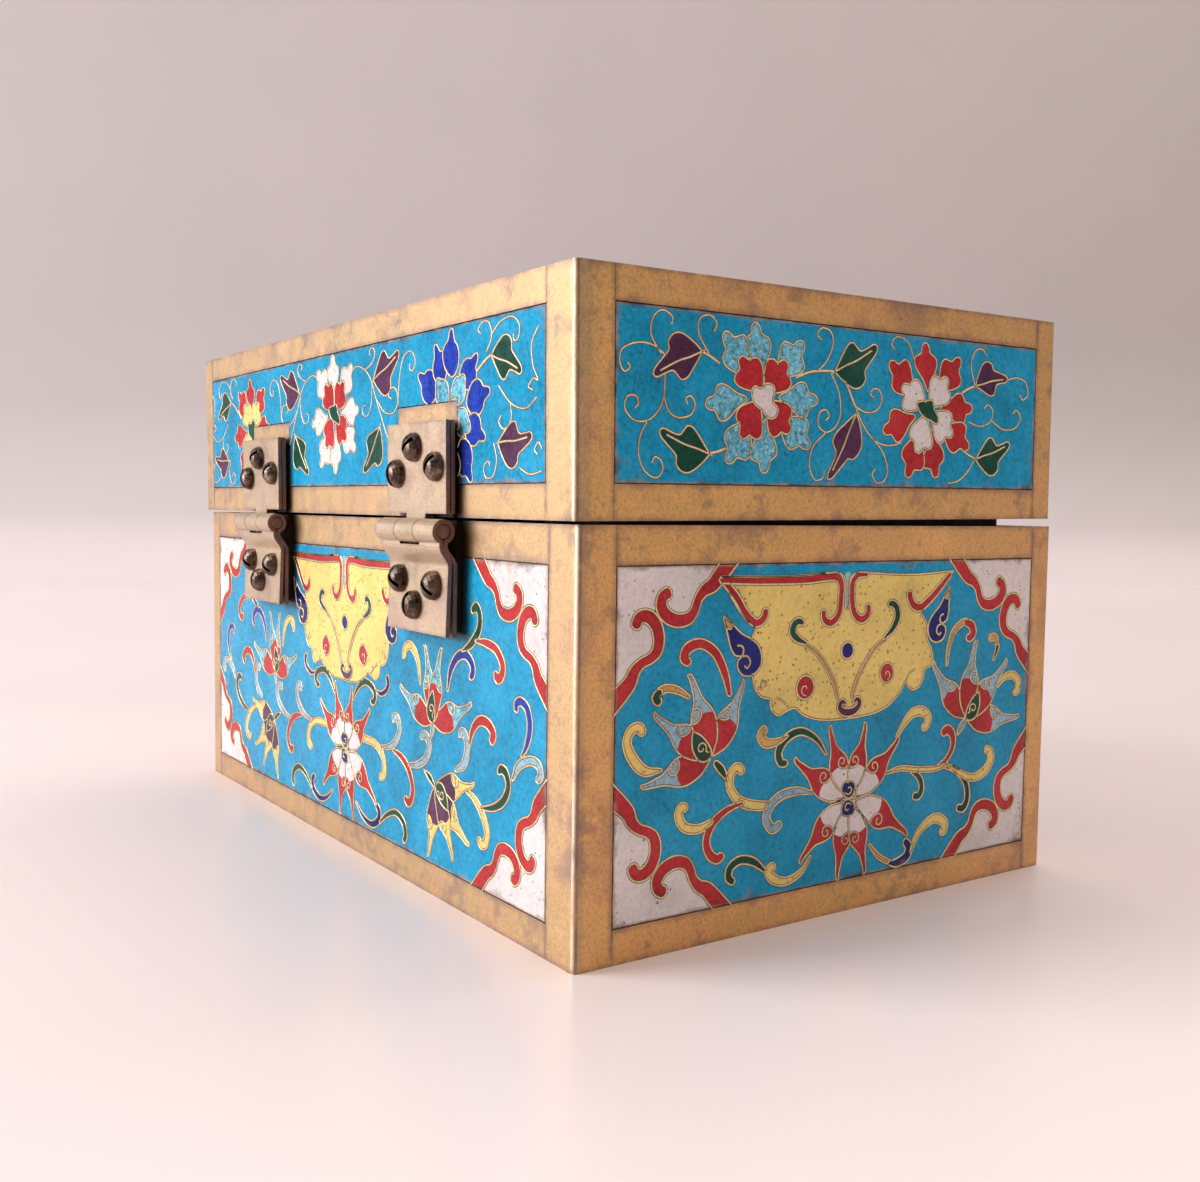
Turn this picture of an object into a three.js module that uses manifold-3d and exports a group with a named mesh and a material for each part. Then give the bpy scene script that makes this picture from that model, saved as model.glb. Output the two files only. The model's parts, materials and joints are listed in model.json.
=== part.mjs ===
// Cloisonne enamel box with a hinged lid. Millimetres, +Z up, the front at -Y and the hinges at the
// back, +Y. The origin is the centre of the underside.
//
// Base and lid are made alike. A thin brass sheet case carries brass corner angles and rails on its
// outside, and each wall's enamel plaque lies between them, flush with the brass. Two strap hinges are
// screwed to pads that stand on the back rails.
import * as THREE from "three";
import { mergeVertices } from "three/addons/utils/BufferGeometryUtils.js";
import Module from "manifold-3d";

const wasm = await Module();
wasm.setup();

// ---------------------------------------------------------------- driving dimensions
const BASE = {
  x: [-76.2, 76.2],
  y: [-49.45, 49.45],
  z: [0, 60],
  rails: { bottom: 5.0, top: 5.4 },
};
// The lid is a little longer than the base and sits a little further back, as it was fitted by hand.
const LID = {
  x: [-76.8, 76.8],
  y: [-48.2, 50.4],
  z: [60.45, 94.05],
  rails: { bottom: 4.9, top: 4.8 },
};
// Widths of the corner angles' legs, seen from outside. They were cut by hand, so no two are alike.
const LEGS = {
  back_left: { long: 7.1, short: 6.1 },
  back_right: { long: 5.2, short: 5.8 },
  front_left: { long: 6.4, short: 5.0 },
  front_right: { long: 6.0, short: 5.6 },
};
const SKIN = 1.2; // thickness of the angles, rails and plaques
const BASE_SHEET = 1.4; // thickness of the base case's sheet
const LID_SHEET = 1.0; // thickness of the lid case's sheet
const TOP_BORDER = 6.0; // width of the brass round the top plaque
const EDGE_RADIUS = 0.9; // rounding of the outer corner of an angle
const JOINT = 0.06; // hairline left at each soldered joint
const BED = 0.1; // solder bed behind the pieces of the skin
const PLAQUE_GAP = 0.18; // groove round each plaque

const LIP = { thick: 1.0, halfLength: 38, below: 8, above: 2.0 }; // locating strips in the base

// hinges
const AXIS_Y = 52.95;
const AXIS_Z = 58.35;
const AJAR = THREE.MathUtils.degToRad(0.5); // how far the lid stands open when at rest
const HINGE_X = 35; // distance of each hinge from the middle
const HINGE_WIDTH = 20.3;
const STRAP = 0.65; // thickness of the folded strap
const PIN_RADIUS = 1.15;
const KNUCKLE_RADIUS = 1.555; // of the strap's middle line round the pin
const KNUCKLE_GAP = 0.12; // side clearance of a knuckle

const LID_LEAF = { outer: 52.225, inner: 51.375, top: 75.0, clear: 61.0 };
const BASE_LEAF = { outer: 51.85, inner: 50.95, bottom: 42.5, stepFoot: 53.1, clear: 56.2 };
const FLARE = { outer: 0.4, inner: 0.1 }; // how far the base leaf's legs stand off more at their foot
// At each hinge the back rail widens into a pad, flush with the wall, and a boss on the pad carries the
// leaf. end is the height where they stop.
const LID_SEATS = {
  rail: "bottom",
  pad: { x: 34.5, halfWidth: 10.15, end: 77.8 },
  boss: { x: HINGE_X, halfWidth: 9.2, end: 73.8, face: 50.85 },
};
const BASE_SEATS = {
  rail: "top",
  pad: { x: HINGE_X, halfWidth: 9.4, end: 43.4 },
  boss: { x: HINGE_X, halfWidth: 9.2, end: 43.6, face: 50.35 },
};

// screws, three to a leaf: place along the leaf, height and turn of the slot
const HEAD = { radius: 2.3, height: 2.0, rim: 0.25 };
const SHANK_RADIUS = 1.0;
const SCREW_HOLE = 1.15;
const SLOT = { width: 0.65, depth: 0.95 };
const LID_SCREWS = [
  { u: 0.2, z: 71.2, turn: 40 },
  { u: -7.1, z: 68.1, turn: 55 },
  { u: 6.1, z: 67.2, turn: 95 },
];
const BASE_SCREWS = [
  { u: 5.8, z: 50.6, turn: 145 },
  { u: -5.9, z: 50.1, turn: 140 },
  { u: 0.5, z: 46.7, turn: 85 },
];

// ---------------------------------------------------------------- materials
function metal(color, roughness) {
  return new THREE.MeshStandardMaterial({ color, roughness, metalness: 1 });
}
const frameBrass = metal(0xb8914e, 0.42);
const sheetBrass = metal(0xa98346, 0.5);
const hingeBrass = metal(0xc29a62, 0.45);
const darkScrew = metal(0x4a342c, 0.3);
const enamel = new THREE.MeshStandardMaterial({ color: 0x1593b4, roughness: 0.25, metalness: 0 });

// ---------------------------------------------------------------- shapes and booleans
function block(x, y, z) {
  const g = new THREE.BoxGeometry(x[1] - x[0], y[1] - y[0], z[1] - z[0]);
  return g.translate((x[0] + x[1]) / 2, (y[0] + y[1]) / 2, (z[0] + z[1]) / 2);
}

// An outline in Y and Z, extruded along X from x[0] to x[1].
function alongX(outline, x) {
  const shape = new THREE.Shape(outline.map(([y, z]) => new THREE.Vector2(y, z)));
  const g = new THREE.ExtrudeGeometry(shape, { depth: x[1] - x[0], bevelEnabled: false });
  const turn = new THREE.Matrix4().makeBasis(
    new THREE.Vector3(0, 1, 0),
    new THREE.Vector3(0, 0, 1),
    new THREE.Vector3(1, 0, 0),
  );
  return g.applyMatrix4(turn).translate(x[0], 0, 0);
}

// A round bar along Y from y[0] to y[1].
function barAlongY(x, z, radius, y, sides = 14) {
  const g = new THREE.CylinderGeometry(radius, radius, y[1] - y[0], sides);
  return g.translate(x, (y[0] + y[1]) / 2, z);
}

function toSolid(geometry) {
  const bare = geometry.clone();
  bare.deleteAttribute("normal");
  bare.deleteAttribute("uv");
  const merged = mergeVertices(bare, 1e-4);
  return new wasm.Manifold(
    new wasm.Mesh({
      numProp: 3,
      vertProperties: new Float32Array(merged.attributes.position.array),
      triVerts: new Uint32Array(merged.index.array),
    }),
  );
}

function toGeometry(solid) {
  const m = solid.getMesh();
  const g = new THREE.BufferGeometry();
  g.setAttribute("position", new THREE.BufferAttribute(new Float32Array(m.vertProperties), 3));
  g.setIndex(new THREE.BufferAttribute(new Uint32Array(m.triVerts), 1));
  g.computeVertexNormals();
  return g;
}

function cut(geometry, tools) {
  const whole = tools.reduce((s, tool) => s.subtract(toSolid(tool)), toSolid(geometry));
  return toGeometry(whole);
}

function join(geometry, others) {
  return toGeometry(others.reduce((s, other) => s.add(toSolid(other)), toSolid(geometry)));
}

function piece(group, name, geometry, material) {
  const mesh = new THREE.Mesh(geometry, material);
  mesh.name = name;
  group.add(mesh);
}

// ---------------------------------------------------------------- the four walls' skin
const CORNERS = {
  back_left: [-1, 1],
  back_right: [1, 1],
  front_left: [-1, -1],
  front_right: [1, -1],
};

// One corner angle, its outer edge rounded. Its legs run along the long and the short wall.
function cornerAngle(box, corner) {
  const [sx, sy] = CORNERS[corner];
  const { long, short } = LEGS[corner];
  const x = box.x[sx > 0 ? 1 : 0];
  const y = box.y[sy > 0 ? 1 : 0];
  const r = EDGE_RADIUS;
  const thick = SKIN - BED;
  const shape = new THREE.Shape();
  shape.moveTo(long, 0);
  shape.lineTo(long, thick);
  shape.lineTo(thick, thick);
  shape.lineTo(thick, short);
  shape.lineTo(0, short);
  shape.lineTo(0, r);
  shape.absarc(r, r, r, Math.PI, 1.5 * Math.PI, false);
  const outline = shape.getPoints(5).map((p) => new THREE.Vector2(x - sx * p.x, y - sy * p.y));
  const depth = box.z[1] - box.z[0];
  const g = new THREE.ExtrudeGeometry(new THREE.Shape(outline), { depth, bevelEnabled: false });
  return g.translate(0, 0, box.z[0]);
}

// Each wall by its side: the range between the corner angles, and the skin's range through the wall.
function wallsOf(box) {
  const thick = SKIN - BED;
  const back = [box.x[0] + LEGS.back_left.long, box.x[1] - LEGS.back_right.long];
  const front = [box.x[0] + LEGS.front_left.long, box.x[1] - LEGS.front_right.long];
  const left = [box.y[0] + LEGS.front_left.short, box.y[1] - LEGS.back_left.short];
  const right = [box.y[0] + LEGS.front_right.short, box.y[1] - LEGS.back_right.short];
  return {
    back: { along: "x", span: back, skin: [box.y[1] - thick, box.y[1]] },
    front: { along: "x", span: front, skin: [box.y[0], box.y[0] + thick] },
    left: { along: "y", span: left, skin: [box.x[0], box.x[0] + thick] },
    right: { along: "y", span: right, skin: [box.x[1] - thick, box.x[1]] },
  };
}

function wallBlock(wall, z, gap) {
  const span = [wall.span[0] + gap, wall.span[1] - gap];
  return wall.along === "x" ? block(span, wall.skin, z) : block(wall.skin, span, z);
}

// A block at each hinge, from the outer edge of its rail to the height where it stops.
function seatBlocks({ x, halfWidth, end }, through, rail, grow = 0) {
  const half = halfWidth + grow;
  const z = end > rail[1] ? [rail[0] - grow, end + grow] : [end - grow, rail[1] + grow];
  return [-x, x].map((middle) => block([middle - half, middle + half], through, z));
}

// The angles, rails and plaques of the four walls. seats says what carries the hinges on the back wall.
function addSkin(group, prefix, box, seats, screwHoles) {
  const [z0, z1] = box.z;
  const rails = { bottom: [z0, z0 + box.rails.bottom], top: [z1 - box.rails.top, z1] };
  const field = [rails.bottom[1] + PLAQUE_GAP, rails.top[0] - PLAQUE_GAP];
  for (const corner of Object.keys(CORNERS)) {
    piece(group, `${prefix}_corner_${corner}`, cornerAngle(box, corner), frameBrass);
  }
  for (const [side, wall] of Object.entries(wallsOf(box))) {
    let plaque = wallBlock(wall, field, PLAQUE_GAP);
    for (const [edge, z] of Object.entries(rails)) {
      let rail = wallBlock(wall, z, JOINT);
      if (side === "back" && edge === seats.rail) {
        const pads = seatBlocks(seats.pad, wall.skin, z);
        const bosses = seatBlocks(seats.boss, [wall.skin[0], seats.boss.face], z);
        rail = cut(join(rail, [...pads, ...bosses]), screwHoles);
        const through = [wall.skin[0] - 1, wall.skin[1] + 1];
        plaque = cut(plaque, seatBlocks(seats.pad, through, z, PLAQUE_GAP));
      }
      piece(group, `${prefix}_rail_${side}_${edge}`, rail, frameBrass);
    }
    piece(group, `${prefix}_enamel_${side}`, plaque, enamel);
  }
}

// ---------------------------------------------------------------- sheet cases
function inner(range, low, high) {
  return [range[0] + low, range[1] - high];
}

function baseCase(screwHoles) {
  const wall = SKIN + BASE_SHEET;
  const body = block(inner(BASE.x, SKIN, SKIN), inner(BASE.y, SKIN, SKIN), BASE.z);
  const well = block(
    inner(BASE.x, wall, wall),
    inner(BASE.y, wall, wall),
    [BASE.z[0] + wall, BASE.z[1] + 1],
  );
  return cut(body, [well, ...screwHoles]);
}

function lidCase(screwHoles) {
  const wall = SKIN + LID_SHEET;
  const body = block(inner(LID.x, SKIN, SKIN), inner(LID.y, SKIN, SKIN), inner(LID.z, 0, SKIN));
  const hollow = block(
    inner(LID.x, wall, wall),
    inner(LID.y, wall, wall),
    [LID.z[0] - 1, LID.z[1] - wall],
  );
  return cut(body, [hollow, ...screwHoles]);
}

function addLidTop(group) {
  const z = [LID.z[1] - SKIN + BED, LID.z[1]];
  const outer = SKIN + JOINT;
  const frame = block(inner(LID.x, outer, outer), inner(LID.y, outer, outer), z);
  const window = block(
    inner(LID.x, TOP_BORDER, TOP_BORDER),
    inner(LID.y, TOP_BORDER, TOP_BORDER),
    [z[0] - 1, z[1] + 1],
  );
  piece(group, "lid_top_frame", cut(frame, [window]), frameBrass);
  const edge = TOP_BORDER + PLAQUE_GAP;
  const plaque = block(inner(LID.x, edge, edge), inner(LID.y, edge, edge), z);
  piece(group, "lid_enamel_top", plaque, enamel);
}

// Strips inside the base's short walls, which stand above the rim and locate the lid.
function addLips(group) {
  const wall = SKIN + BASE_SHEET;
  const z = [BASE.z[1] - LIP.below, BASE.z[1] + LIP.above];
  const y = [-LIP.halfLength, LIP.halfLength];
  const left = BASE.x[0] + wall;
  const right = BASE.x[1] - wall;
  piece(group, "base_lip_left", block([left, left + LIP.thick], y, z), sheetBrass);
  piece(group, "base_lip_right", block([right - LIP.thick, right], y, z), sheetBrass);
}

// ---------------------------------------------------------------- hinges
// The closed outline of a strap of even thickness along a line of points.
function bandAlong(line) {
  const left = [];
  const right = [];
  line.forEach((p, i) => {
    const before = line[Math.max(i - 1, 0)];
    const after = line[Math.min(i + 1, line.length - 1)];
    const d = new THREE.Vector2(after[0] - before[0], after[1] - before[1]).normalize();
    left.push([p[0] - (d.y * STRAP) / 2, p[1] + (d.x * STRAP) / 2]);
    right.push([p[0] + (d.y * STRAP) / 2, p[1] - (d.x * STRAP) / 2]);
  });
  return [...left, ...right.reverse()];
}

function arc(cy, cz, radius, fromDeg, toDeg, steps) {
  return Array.from({ length: steps + 1 }, (_, i) => {
    const a = THREE.MathUtils.degToRad(fromDeg + ((toDeg - fromDeg) * i) / steps);
    return [cy + radius * Math.cos(a), cz + radius * Math.sin(a)];
  });
}

// Both legs of the lid's strap hang straight down. The outer one turns out over the pin, goes round it
// and comes up again against the lid as the inner one.
function lidLeafLine() {
  const bend = 0.6;
  const over = Math.acos((LID_LEAF.outer + bend - AXIS_Y) / KNUCKLE_RADIUS);
  const topOfRing = AXIS_Z + KNUCKLE_RADIUS * Math.sin(over);
  const start = THREE.MathUtils.radToDeg(over);
  return [
    [LID_LEAF.outer, LID_LEAF.top],
    ...arc(LID_LEAF.outer + bend, topOfRing + bend, bend, 180, 262, 5),
    ...arc(AXIS_Y, AXIS_Z, KNUCKLE_RADIUS, start, -180, 20),
    [LID_LEAF.inner, LID_LEAF.top],
  ];
}

// The legs of the base's strap step in from the knuckle to the pad, because the lid stands further out.
function baseLeafLine() {
  const open = 15; // half the angle left open at the foot of the ring, in degrees
  const ring = arc(AXIS_Y, AXIS_Z, KNUCKLE_RADIUS, -90 + open, 270 - open, 22);
  const stepTop = ring[0][1] - 0.7;
  const leg = (y, flare, neckY) => {
    const rows = 7;
    const step = Array.from({ length: rows + 1 }, (_, i) => {
      const t = i / rows;
      const ease = t * t * (3 - 2 * t);
      return [y + (neckY - y) * ease, BASE_LEAF.stepFoot + (stepTop - BASE_LEAF.stepFoot) * t];
    });
    return [[y + flare, BASE_LEAF.bottom], ...step];
  };
  const neck = STRAP / 2 + 0.04;
  const outer = leg(BASE_LEAF.outer, FLARE.outer, AXIS_Y + 0.05 + neck);
  const inside = leg(BASE_LEAF.inner, FLARE.inner, AXIS_Y + 0.05 - neck);
  return [...outer, ...ring, ...inside.reverse()];
}

// The three knuckles share the width: the outer two are the base's and the middle one the lid's.
function knuckleSpans(x) {
  const third = HINGE_WIDTH / 3;
  const low = x - HINGE_WIDTH / 2;
  return [0, 1, 2].map((i) => [low + i * third, low + (i + 1) * third]);
}

function leafHoles(x, screws) {
  return screws.map((s) => barAlongY(x + s.u, s.z, SCREW_HOLE, [48, 56]));
}

function lidLeaf(x) {
  const [near, , far] = knuckleSpans(x);
  const y = [AXIS_Y - 4, AXIS_Y + 4];
  const z = [AXIS_Z - 4, LID_LEAF.clear];
  const clear = (span) => block([span[0] - KNUCKLE_GAP, span[1] + KNUCKLE_GAP], y, z);
  const strap = alongX(bandAlong(lidLeafLine()), [near[0], far[1]]);
  return cut(strap, [clear(near), clear(far), ...leafHoles(x, LID_SCREWS)]);
}

function baseLeaf(x) {
  const [near, middle, far] = knuckleSpans(x);
  const room = block(middle, [AXIS_Y - 4, AXIS_Y + 4], [BASE_LEAF.clear, AXIS_Z + 4]);
  const strap = alongX(bandAlong(baseLeafLine()), [near[0], far[1]]);
  return cut(strap, [room, ...leafHoles(x, BASE_SCREWS)]);
}

function hingePin(x) {
  const half = HINGE_WIDTH / 2 - 0.15;
  const profile = [
    [0, -half],
    [PIN_RADIUS - 0.2, -half],
    [PIN_RADIUS, -half + 0.2],
    [PIN_RADIUS, half - 0.2],
    [PIN_RADIUS - 0.2, half],
    [0, half],
  ];
  const g = new THREE.LatheGeometry(profile.map(([r, h]) => new THREE.Vector2(r, h)), 20);
  return g.rotateZ(-Math.PI / 2).translate(x, AXIS_Y, AXIS_Z);
}

// A slotted round-head screw, its head seated at y = seat and its shank filed off at y = end.
function screw(x, z, seat, end, turn) {
  const rings = 5;
  const dome = Array.from({ length: rings }, (_, i) => {
    const a = (i / rings) * (Math.PI / 2);
    return [HEAD.radius * Math.cos(a), HEAD.rim + (HEAD.height - HEAD.rim) * Math.sin(a)];
  });
  const profile = [
    [0, end - seat],
    [SHANK_RADIUS, end - seat],
    [SHANK_RADIUS, 0],
    [HEAD.radius, 0],
    ...dome,
    [0, HEAD.height],
  ];
  const body = new THREE.LatheGeometry(profile.map(([r, h]) => new THREE.Vector2(r, h)), 18);
  const floor = HEAD.height - SLOT.depth;
  const slot = block(
    [-HEAD.radius - 1, HEAD.radius + 1],
    [floor, HEAD.height + 1],
    [-SLOT.width / 2, SLOT.width / 2],
  ).rotateY(THREE.MathUtils.degToRad(turn));
  return cut(body, [slot]).translate(x, seat, z);
}

// How far out the base leaf's face is at a height below the step, where the leg leans outwards.
function baseLeafFace(z) {
  const down = (BASE_LEAF.stepFoot - z) / (BASE_LEAF.stepFoot - BASE_LEAF.bottom);
  return BASE_LEAF.outer + FLARE.outer * down + STRAP / 2;
}

function addHinge(baseGroup, lidGroup, side, x) {
  piece(baseGroup, `hinge_${side}_base_leaf`, baseLeaf(x), hingeBrass);
  piece(baseGroup, `hinge_${side}_pin`, hingePin(x), hingeBrass);
  piece(lidGroup, `hinge_${side}_lid_leaf`, lidLeaf(x), hingeBrass);
  const baseInside = BASE.y[1] - SKIN - BASE_SHEET;
  const lidInside = LID.y[1] - SKIN - LID_SHEET;
  BASE_SCREWS.forEach((s, i) => {
    const seat = baseLeafFace(s.z - HEAD.radius) + 0.01;
    const g = screw(x + s.u, s.z, seat, baseInside, s.turn);
    piece(baseGroup, `hinge_${side}_base_screw_${i + 1}`, g, darkScrew);
  });
  LID_SCREWS.forEach((s, i) => {
    const g = screw(x + s.u, s.z, LID_LEAF.outer + STRAP / 2, lidInside, s.turn);
    piece(lidGroup, `hinge_${side}_lid_screw_${i + 1}`, g, darkScrew);
  });
}

function wallHoles(screws, y) {
  return [-HINGE_X, HINGE_X].flatMap((x) => screws.map((s) => barAlongY(x + s.u, s.z, SCREW_HOLE, y)));
}

// ---------------------------------------------------------------- the box
const box = new THREE.Group();
const base = new THREE.Group();
const baseHoles = wallHoles(BASE_SCREWS, [BASE.y[1] - 6, BASE.y[1] + 3]);
piece(base, "base_case", baseCase(baseHoles), sheetBrass);
addSkin(base, "base", BASE, BASE_SEATS, baseHoles);
addLips(base);

// The lid is drawn closed and then turned about the hinge pins to where it rests.
const lidTurn = new THREE.Group();
lidTurn.position.set(0, AXIS_Y, AXIS_Z);
lidTurn.rotation.x = -AJAR;
const lid = new THREE.Group();
lid.position.set(0, -AXIS_Y, -AXIS_Z);
lidTurn.add(lid);
const lidHoles = wallHoles(LID_SCREWS, [LID.y[1] - 6, LID.y[1] + 3]);
piece(lid, "lid_case", lidCase(lidHoles), sheetBrass);
addSkin(lid, "lid", LID, LID_SEATS, lidHoles);
addLidTop(lid);

addHinge(base, lid, "left", -HINGE_X);
addHinge(base, lid, "right", HINGE_X);
box.add(base, lidTurn);

export default box;
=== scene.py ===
"""The looks of the cloisonne enamel box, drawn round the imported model."""
import json
import math

import bmesh
import bpy
import numpy as np
from mathutils import Matrix, Vector
from mathutils.geometry import delaunay_2d_cdt


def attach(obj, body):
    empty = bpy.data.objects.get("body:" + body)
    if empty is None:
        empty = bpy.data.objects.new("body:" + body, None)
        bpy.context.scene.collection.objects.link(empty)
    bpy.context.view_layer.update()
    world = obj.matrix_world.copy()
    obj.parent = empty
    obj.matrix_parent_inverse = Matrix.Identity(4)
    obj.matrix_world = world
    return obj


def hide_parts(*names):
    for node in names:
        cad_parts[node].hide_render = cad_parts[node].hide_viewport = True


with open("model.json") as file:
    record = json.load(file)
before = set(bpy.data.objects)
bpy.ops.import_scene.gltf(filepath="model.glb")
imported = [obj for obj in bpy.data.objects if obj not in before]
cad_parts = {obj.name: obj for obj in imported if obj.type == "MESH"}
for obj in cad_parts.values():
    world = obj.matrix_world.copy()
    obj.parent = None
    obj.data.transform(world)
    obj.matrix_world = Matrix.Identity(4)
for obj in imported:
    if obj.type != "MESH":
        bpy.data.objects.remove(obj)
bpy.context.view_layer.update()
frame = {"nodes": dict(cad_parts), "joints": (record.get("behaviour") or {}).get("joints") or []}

MM = 0.001  # metres in a millimetre
HINGE = frame["joints"][0]
AJAR = math.radians(0.5)  # how far the lid stands open at rest

# ---------------------------------------------------------------- camera
CAMERA_PLACE = (-0.21256, 0.13974, 0.06243)
CAMERA_YAW, CAMERA_PITCH, CAMERA_ROLL = (math.radians(a) for a in (-34.523, -3.851, 0.765))
LENS, SENSOR = 37.68, 36.0  # mm


def make_camera():
    data = bpy.data.cameras.new("camera")
    data.lens = LENS
    data.sensor_width = SENSOR
    data.sensor_fit = "HORIZONTAL"
    data.clip_start = 0.01
    forward = Vector((
        math.cos(CAMERA_PITCH) * math.cos(CAMERA_YAW),
        math.cos(CAMERA_PITCH) * math.sin(CAMERA_YAW),
        math.sin(CAMERA_PITCH),
    ))
    right = forward.cross(Vector((0, 0, 1))).normalized()
    up = right.cross(forward)
    c, s = math.cos(CAMERA_ROLL), math.sin(CAMERA_ROLL)
    axes = Matrix((right * c + up * s, up * c - right * s, -forward)).transposed()
    camera = link("camera", data)
    camera.matrix_world = Matrix.Translation(CAMERA_PLACE) @ axes.to_4x4()
    bpy.context.scene.camera = camera


def link(name, data):
    """A new object in the scene."""
    piece = bpy.data.objects.new(name, data)
    bpy.context.scene.collection.objects.link(piece)
    return piece


# ---------------------------------------------------------------- materials
RAMP_MM = 200  # the stretch of an axis, round 0, that region() can tell apart


class Nodes:
    """A material's node tree. Patterns lie in the object's own space and are sized in millimetres."""

    def __init__(self, name):
        self.material = bpy.data.materials.new(name)
        self.material.use_nodes = True
        self.tree = self.material.node_tree
        self.tree.nodes.clear()
        self.shader = self.add("BsdfPrincipled")
        self.add("OutputMaterial", {0: self.shader.outputs[0]})
        self.place = self.add("TexCoord").outputs["Object"]

    def feed(self, socket, value):
        """Links an output to a socket, or sets the socket to a number, a vector or a colour."""
        if isinstance(value, bpy.types.NodeSocket):
            self.tree.links.new(value, socket)
        else:
            socket.default_value = (*value, 1) if socket.type == "RGBA" else value

    def add(self, kind, inputs=None, **settings):
        """A node with its settings and what goes into its inputs."""
        node = self.tree.nodes.new(f"ShaderNode{kind}")
        for key, value in settings.items():
            setattr(node, key, value)
        for key, value in (inputs or {}).items():
            self.feed(node.inputs[key], value)
        return node

    def noise(self, per_mm, detail=3.0, rough=0.55, stretch=None):
        place = self.place
        if stretch:
            place = self.add("Mapping", {"Scale": stretch, "Vector": place}).outputs[0]
        inputs = {"Vector": place, "Scale": per_mm / MM, "Detail": detail, "Roughness": rough}
        return self.add("TexNoise", inputs).outputs["Fac"]

    def steps(self, value, *stops):
        """A colour ramp with (position, grey or colour) stops."""
        node = self.add("ValToRGB", {0: value})
        ramp = node.color_ramp
        while len(ramp.elements) < len(stops):
            ramp.elements.new(0.5)
        for element, (at, colour) in zip(ramp.elements, stops):
            element.position = at
            element.color = (*(colour if isinstance(colour, tuple) else (colour,) * 3), 1)
        return node.outputs[0]

    def mix(self, factor, a, b, blend="MIX"):
        inputs = {0: factor, 6: a, 7: b}  # the factor and the two colours
        return self.add("Mix", inputs, data_type="RGBA", blend_type=blend).outputs[2]

    def times(self, a, b):
        return self.mix(1.0, a, b, "MULTIPLY")

    def math(self, operation, a, b=0.0):
        return self.add("Math", {0: a, 1: b}, operation=operation).outputs[0]

    def axis(self, name, vector):
        return self.add("SeparateXYZ", {0: vector}).outputs[name]

    def dots(self, per_mm, core, rim, where, above):
        """Small round marks, only where another pattern is above a value."""
        cells = self.add("TexVoronoi", {"Vector": self.place, "Scale": per_mm / MM})
        mark = self.steps(cells.outputs["Distance"], (0.0, 1.0), (core, 0.9), (rim, 0.0))
        return self.times(mark, self.steps(where, (above, 0.0), (above + 0.06, 1.0)))

    def rounded(self, radius_mm):
        """The normal, as if the piece's sharp edges were rounded off."""
        return self.add("Bevel", {"Radius": radius_mm * MM}, samples=6).outputs[0]

    def edge_turn(self, radius_mm):
        """How squarely the rounded normal stands: about 0.7 on a sharp edge, 1 beyond the radius."""
        inputs = {0: self.rounded(radius_mm), 1: self.add("NewGeometry").outputs["Normal"]}
        return self.add("VectorMath", inputs, operation="DOT_PRODUCT").outputs["Value"]

    def region(self, **axes):
        """Where a region lies, by the product of its (millimetres, grey) steps along each axis."""
        found = None
        for name, stops in axes.items():
            part = self.math("MULTIPLY", self.axis(name, self.place), 1 / (RAMP_MM * MM))
            stops = [(at / RAMP_MM + 0.5, grey) for at, grey in stops]
            step = self.steps(self.math("ADD", part, 0.5), *stops)
            found = step if found is None else self.times(found, step)
        return found

    def facing_x(self):
        """How squarely a face looks along X: 0 on the front and back, 1 on the ends, between on corners."""
        return self.math("ABSOLUTE", self.axis("X", self.add("TexCoord").outputs["Normal"]))

    def bump(self, height, distance_mm, strength, **inputs):
        inputs |= {"Height": height, "Distance": distance_mm * MM, "Strength": strength}
        self.set(Normal=self.add("Bump", inputs).outputs[0])

    def set(self, **values):
        """Feeds the shader's own inputs."""
        for key, value in values.items():
            self.feed(self.shader.inputs[key.replace("_", " ")], value)


def srgb(r, g, b):
    """Linear colour of 0 to 255 screen values."""
    def linear(v):
        v /= 255
        return v / 12.92 if v <= 0.04045 else ((v + 0.055) / 1.055) ** 2.4
    return linear(r), linear(g), linear(b)


# Base colour of each enamel, how much it drifts, how grainy its powder looks, how many specks it has
# and how pale its flecks are.
ENAMELS = {
    "turquoise": (srgb(6, 150, 192), 0.12, 0.24, 0.35, 0.07),
    "red": (srgb(190, 40, 46), 0.14, 0.22, 0.35, 0.05),
    "white": (srgb(230, 216, 212), 0.06, 0.10, 0.6, 0.3),
    "yellow": (srgb(238, 206, 118), 0.08, 0.10, 1.0, 0.3),
    "lapis": (srgb(14, 26, 112), 0.18, 0.25, 0.3, 0.04),
    "royal": (srgb(8, 54, 170), 0.16, 0.35, 0.3, 0.05),
    "pale_blue": (srgb(104, 186, 210), 0.14, 0.50, 0.5, 0.4),
    "mist": (srgb(150, 186, 204), 0.14, 0.30, 0.6, 0.3),
    "green": (srgb(8, 72, 56), 0.18, 0.25, 0.3, 0.03),
    "purple": (srgb(84, 42, 76), 0.16, 0.25, 0.3, 0.03),
    "tan": (srgb(216, 166, 100), 0.12, 0.20, 0.7, 0.2),
}
# Near-black painted shade: the shadow beside the hinge straps and the shade in the screw slots.
PAINTED_SHADE = srgb(14, 8, 6)
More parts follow.
